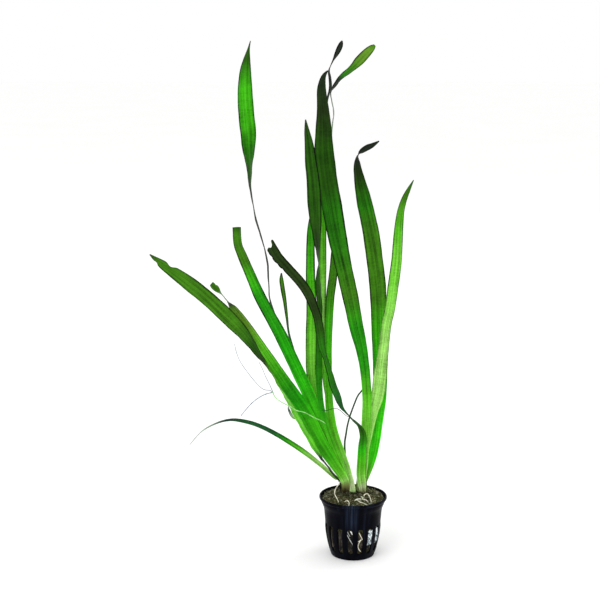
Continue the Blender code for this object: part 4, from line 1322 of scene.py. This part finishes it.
def make_crown(name, node, place, radii, look, skins):
    """The stem of a rosette with skins around it, joined in one piece."""
    body = draw_rings(name, CROWN_RINGS, CROWN_SEGMENTS)
    close_ring(body, CROWN_RINGS[0])
    close_tip(body, CROWN_RINGS[-1])
    bpy.ops.mesh.select_all(action="SELECT")
    bpy.ops.transform.resize(value=(*radii, 1), center_override=(0, 0, 0))
    bpy.ops.transform.translate(value=(place[0] * MM, place[1] * MM, 0))
    seal()
    parts = [body] + [crown_skin(name, place, radii, *row) for row in skins]
    deselect_all()
    for part in parts:
        part.data.materials.clear()
        part.data.materials.append(look)
        part.select_set(True)
    bpy.context.view_layer.objects.active = body
    bpy.ops.object.join()
    finish_piece(body, node, angle=60)
    print(name, "with", len(skins), "skins")


make_crown(
    "left_stem", "left_crown", LEFT_CROWN, (3.6, 3.0), old_skin,
    ((-80, 54.5, 0.3, 6), (-30, 52.5, 0.0, 7), (130, 55, 0.3, 6), (180, 57, 0.4, 6), (230, 56, 0.4, 6)),
)
make_crown(
    "right_stem", "right_crown", RIGHT_CROWN, (3.4, 3.0), live_skin_in_shade,
    ((-60, 60, 0.1, 4), (60, 61, 0.3, 5), (130, 58, 0.4, 5), (220, 58, 0.4, 5)),
)

# %% [markdown]
# Runner, rootlets and roots
#
# The plant spreads by a runner, a pale thread that crosses in front of the left leaves and carries a
# plantlet with hair-thin roots. Cream roots also lie on the wool. All of these are round and taper, so
# each is a curve with a bevel whose radius changes from point to point, turned into a mesh at the end.


# %% A tapered thread
THREAD_STEPS, THREAD_ROUNDNESS = 6, 3
THREAD_DOUBLES = 0.005


def tapered_line(name, points, radii):
    """A curve through the points, whose bevel goes from the first radius to the second, with closed ends."""
    line = bpy.data.curves.new(name, "CURVE")
    line.dimensions = "3D"
    line.bevel_depth = MM
    line.bevel_resolution = THREAD_ROUNDNESS
    line.use_fill_caps = True
    spline = line.splines.new("POLY")
    spline.points.add(len(points) - 1)
    for k, (point, target) in enumerate(zip(points, spline.points)):
        target.co = (*(Vector(point) * MM), 1.0)
        target.radius = radii[0] + (radii[1] - radii[0]) * k / (len(points) - 1)
    return line


def thread(name, node, route, radii, look):
    """A round thread along the route, from the first radius to the second, as a closed mesh."""
    piece = bpy.data.objects.new(name, tapered_line(name, smooth_route(route, THREAD_STEPS), radii))
    bpy.context.scene.collection.objects.link(piece)
    pick_only(piece)
    bpy.ops.object.convert(target="MESH")
    piece = bpy.context.object
    bpy.ops.object.mode_set(mode="EDIT")
    seal(merge=THREAD_DOUBLES)
    piece.data.materials.clear()
    piece.data.materials.append(look)
    finish_piece(piece, node, angle=70)


print("a thread has", THREAD_STEPS, "pieces between two of its points")

# %% Skins of the threads
RUNNER_SKIN = ((0.3, (104, 172, 76)), (0.5, (148, 212, 120)), (0.7, (192, 230, 168)))
HAIR_SKIN = ((0.3, (112, 124, 134)), (0.5, (150, 160, 170)), (0.7, (186, 194, 202)))
DULL_SKIN = ((0.35, (22, 20, 17)), (0.5, (58, 54, 46)), (0.62, (112, 106, 92)))
STALK_SKIN = ((0.3, (20, 38, 26)), (0.5, (36, 62, 38)), (0.7, (58, 90, 52)))
ROOT_SKIN = ((0.3, (176, 172, 146)), (0.5, (230, 226, 204)), (0.7, (250, 248, 236)))
runner_look = sheath_finish("runner_skin", RUNNER_SKIN, 0.45)
hair_look = sheath_finish("hair_skin", HAIR_SKIN, 0.5)
dull_look = sheath_finish("dull_root_skin", DULL_SKIN, 0.7)
stalk_look = sheath_finish("stalk_skin", STALK_SKIN, 0.5)
root_look = sheath_finish("root_skin", ROOT_SKIN, 0.6)
print("thread skins:", runner_look.name, hair_look.name, dull_look.name, stalk_look.name, root_look.name)

# %% The stalk, the runner and the plantlet's roots
thread("dark_stalk", "thin_stalk", (
    (-4, 8, 52), (-4, 8, 65.5), (-6, 8.2, 77), (-6.5, 8.4, 87.5), (-5.5, 8.6, 95), (-4.5, 8.8, 101.5),
    (-2.5, 9, 109.5), (1, 9.4, 119.5), (3.5, 9.7, 125.5), (6.5, 10, 129.5), (10, 10.2, 133.5),
), (0.85, 0.6), stalk_look)
thread("runner_stem", "runner", (
    (-22.7, 4.2, 104.6), (-22.2, 1.2, 105.8), (-25, -1.6, 108.5), (-31, -5.4, 112.5), (-38, -9.4, 117.5),
    (-44, -11.8, 119.7), (-49.5, -12.2, 123.2), (-56, -12, 126.6), (-60.5, -11, 130), (-62.5, -10, 134),
), (0.36, 0.34), runner_look)
thread("runner_side_shoot", "runner_branch", (
    (-24.4, 2.4, 116.4), (-23.2, -0.6, 116.7), (-20.5, -1.8, 117), (-17, -2.4, 118.5), (-12.5, -3, 118.5),
    (-9, -3.4, 116), (-5.8, -2.9, 113), (-3.1, -2.1, 112),
), (0.28, 0.2), stalk_look)
thread("hair_root_up", "rootlet_up", (
    (-62.2, -10, 133.8), (-65, -8.5, 134.8), (-69, -9, 135.5), (-73, -10, 138.8), (-79, -12, 146.5),
    (-86.5, -14, 158), (-89.5, -15, 165.5), (-91, -16, 173),
), (0.3, 0.2), hair_look)
thread("hair_root_short", "rootlet_short", (
    (-62.3, -10, 133.8), (-63.4, -9, 136.2), (-65.5, -9.6, 141), (-68, -10.4, 146.5), (-70.5, -11.4, 153),
    (-73, -12.4, 158.5),
), (0.3, 0.18), hair_look)
thread("hair_root_down", "rootlet_down", (
    (-62.2, -10, 133.6), (-64.5, -8, 132.6), (-69, -8, 131.2), (-73.5, -8, 128.6), (-78.5, -8, 124.6),
    (-83.5, -8, 119), (-87, -8, 114.5),
), (0.48, 0.36), hair_look)
print("threads made")

# %% [markdown]
# Strands behind the slots
#
# Some roots have grown against the inside of the wall, and show through the slots: white ones, cream ones
# and dead brown ones. Whole roots wouldn't be seen, so only these strands are made, as threads whose places
# are given by the angle round the pot and the height.


# %% Strands in the slots
STRAND_DEPTH, STRAND_TAPER = 0.85, 0.7
WHITE_SKIN = ((0.3, (176, 182, 180)), (0.5, (226, 232, 230)), (0.7, (250, 250, 248)))
white_look = sheath_finish("white_root_skin", WHITE_SKIN, 0.5)
STRANDS = (
    # places as (degrees round from the front, height), radius, skin
    (((-14.5, 22.7), (-9.3, 19), (-2.4, 14.4)), 0.26, white_look),
    (((-13.5, 25), (-8.2, 21.2)), 0.18, white_look),
    (((-7.2, 25.6), (-5, 24.6), (-3.4, 23)), 0.5, white_look),
    (((10.8, 24.4), (13.6, 22.4), (18.8, 18.4)), 0.42, root_look),
    (((15.6, 18.5), (11.4, 15.5), (10, 12.7), (12.5, 10), (17, 8)), 0.42, root_look),
    (((9.5, 16.9), (13, 17.6), (18, 18.3)), 0.3, root_look),
    (((-31.5, 25), (-30.4, 21), (-31.5, 15), (-33.5, 8)), 0.75, dull_look),
    (((-52, 24), (-54, 17), (-55.5, 9)), 0.6, dull_look),
    (((-5, 14), (-9, 11), (-10, 8)), 0.7, dull_look),
)


def behind_wall(route):
    """Places just inside the wall's outer face."""
    found = []
    for degrees, height in route:
        angle, out = math.radians(degrees), wall_radius(height) - STRAND_DEPTH
        found.append((out * math.sin(angle), -out * math.cos(angle), height))
    return found


for number, (route, radius, look) in enumerate(STRANDS, 1):
    name = f"slot_strand_{number}"
    thread(name, None, behind_wall(route), (radius, STRAND_TAPER * radius), look)
print("strands:", len(STRANDS))

# %% [markdown]
# Roots on the wool
#
# A few cream roots come up out of the plug, lie over its top and go down again. Their heights are counted
# from the wool, so that each lies on it wherever it goes. The left one hangs from its crown.


# %% Routes that follow the plug's top
ROOT_LIFT = 0.5


def on_plug(route):
    """A root's route with its heights counted from the plug's top."""
    return [(x, y, wool_height(math.hypot(x, y)) + ROOT_LIFT + up) for x, y, up in route]


thread("left_root", "root_left", on_plug((
    (-9.4, 4.5, 8.8), (-11.4, 4.5, 5.8), (-13.4, 4, 3), (-14.3, 2, 1), (-14.2, -2.5, 0), (-12.9, -10, 0),
    (-11.2, -17, -1.2),
)), (0.45, 0.35), root_look)
thread("front_root", "root_front", on_plug((
    (-7.5, -15.6, -1.2), (-5.2, -14.9, 0), (-3.8, -18.4, 0), (-4.1, -22.6, -0.6),
)), (0.42, 0.32), root_look)
thread("right_root", "root_right", on_plug((
    (-0.9, -16.9, -1.2), (1.6, -14, 0), (4, -12.4, 0), (7.1, -12.7, 0), (9.9, -13.7, 0), (11.5, -16.3, -1.2),
)), (0.42, 0.34), root_look)
thread("lower_right_root", None, on_plug((
    (2.5, -14.2, 0.1), (4.5, -17.1, 0), (7.5, -19.1, 0), (10.6, -20, -0.8),
)), (0.38, 0.3), root_look)
thread("looped_root", "root_loop", on_plug((
    (8, -8.4, -1.2), (8.4, -5, 0), (9.6, -2.6, 0.2), (11.2, -2, 0.3), (12.4, -6, 0.1), (13.2, -11.5, 0),
    (13.5, -16.5, -1.2),
)), (0.5, 0.36), root_look)
thread("short_root", None, on_plug((
    (6, -5.2, -1), (6.7, -8.8, 0), (7.2, -12.4, 0.2),
)), (0.42, 0.3), root_look)
print("roots made")

# %% [markdown]
# Removing the masters
#
# The dressed plant must stay the size of the CAD model. Here the master strap and the master fibre, whose
# copies make the leaves, skins and felt, are removed.

# %% Removing the masters
for master in (strap, fibre):
    bpy.data.objects.remove(master, do_unlink=True)
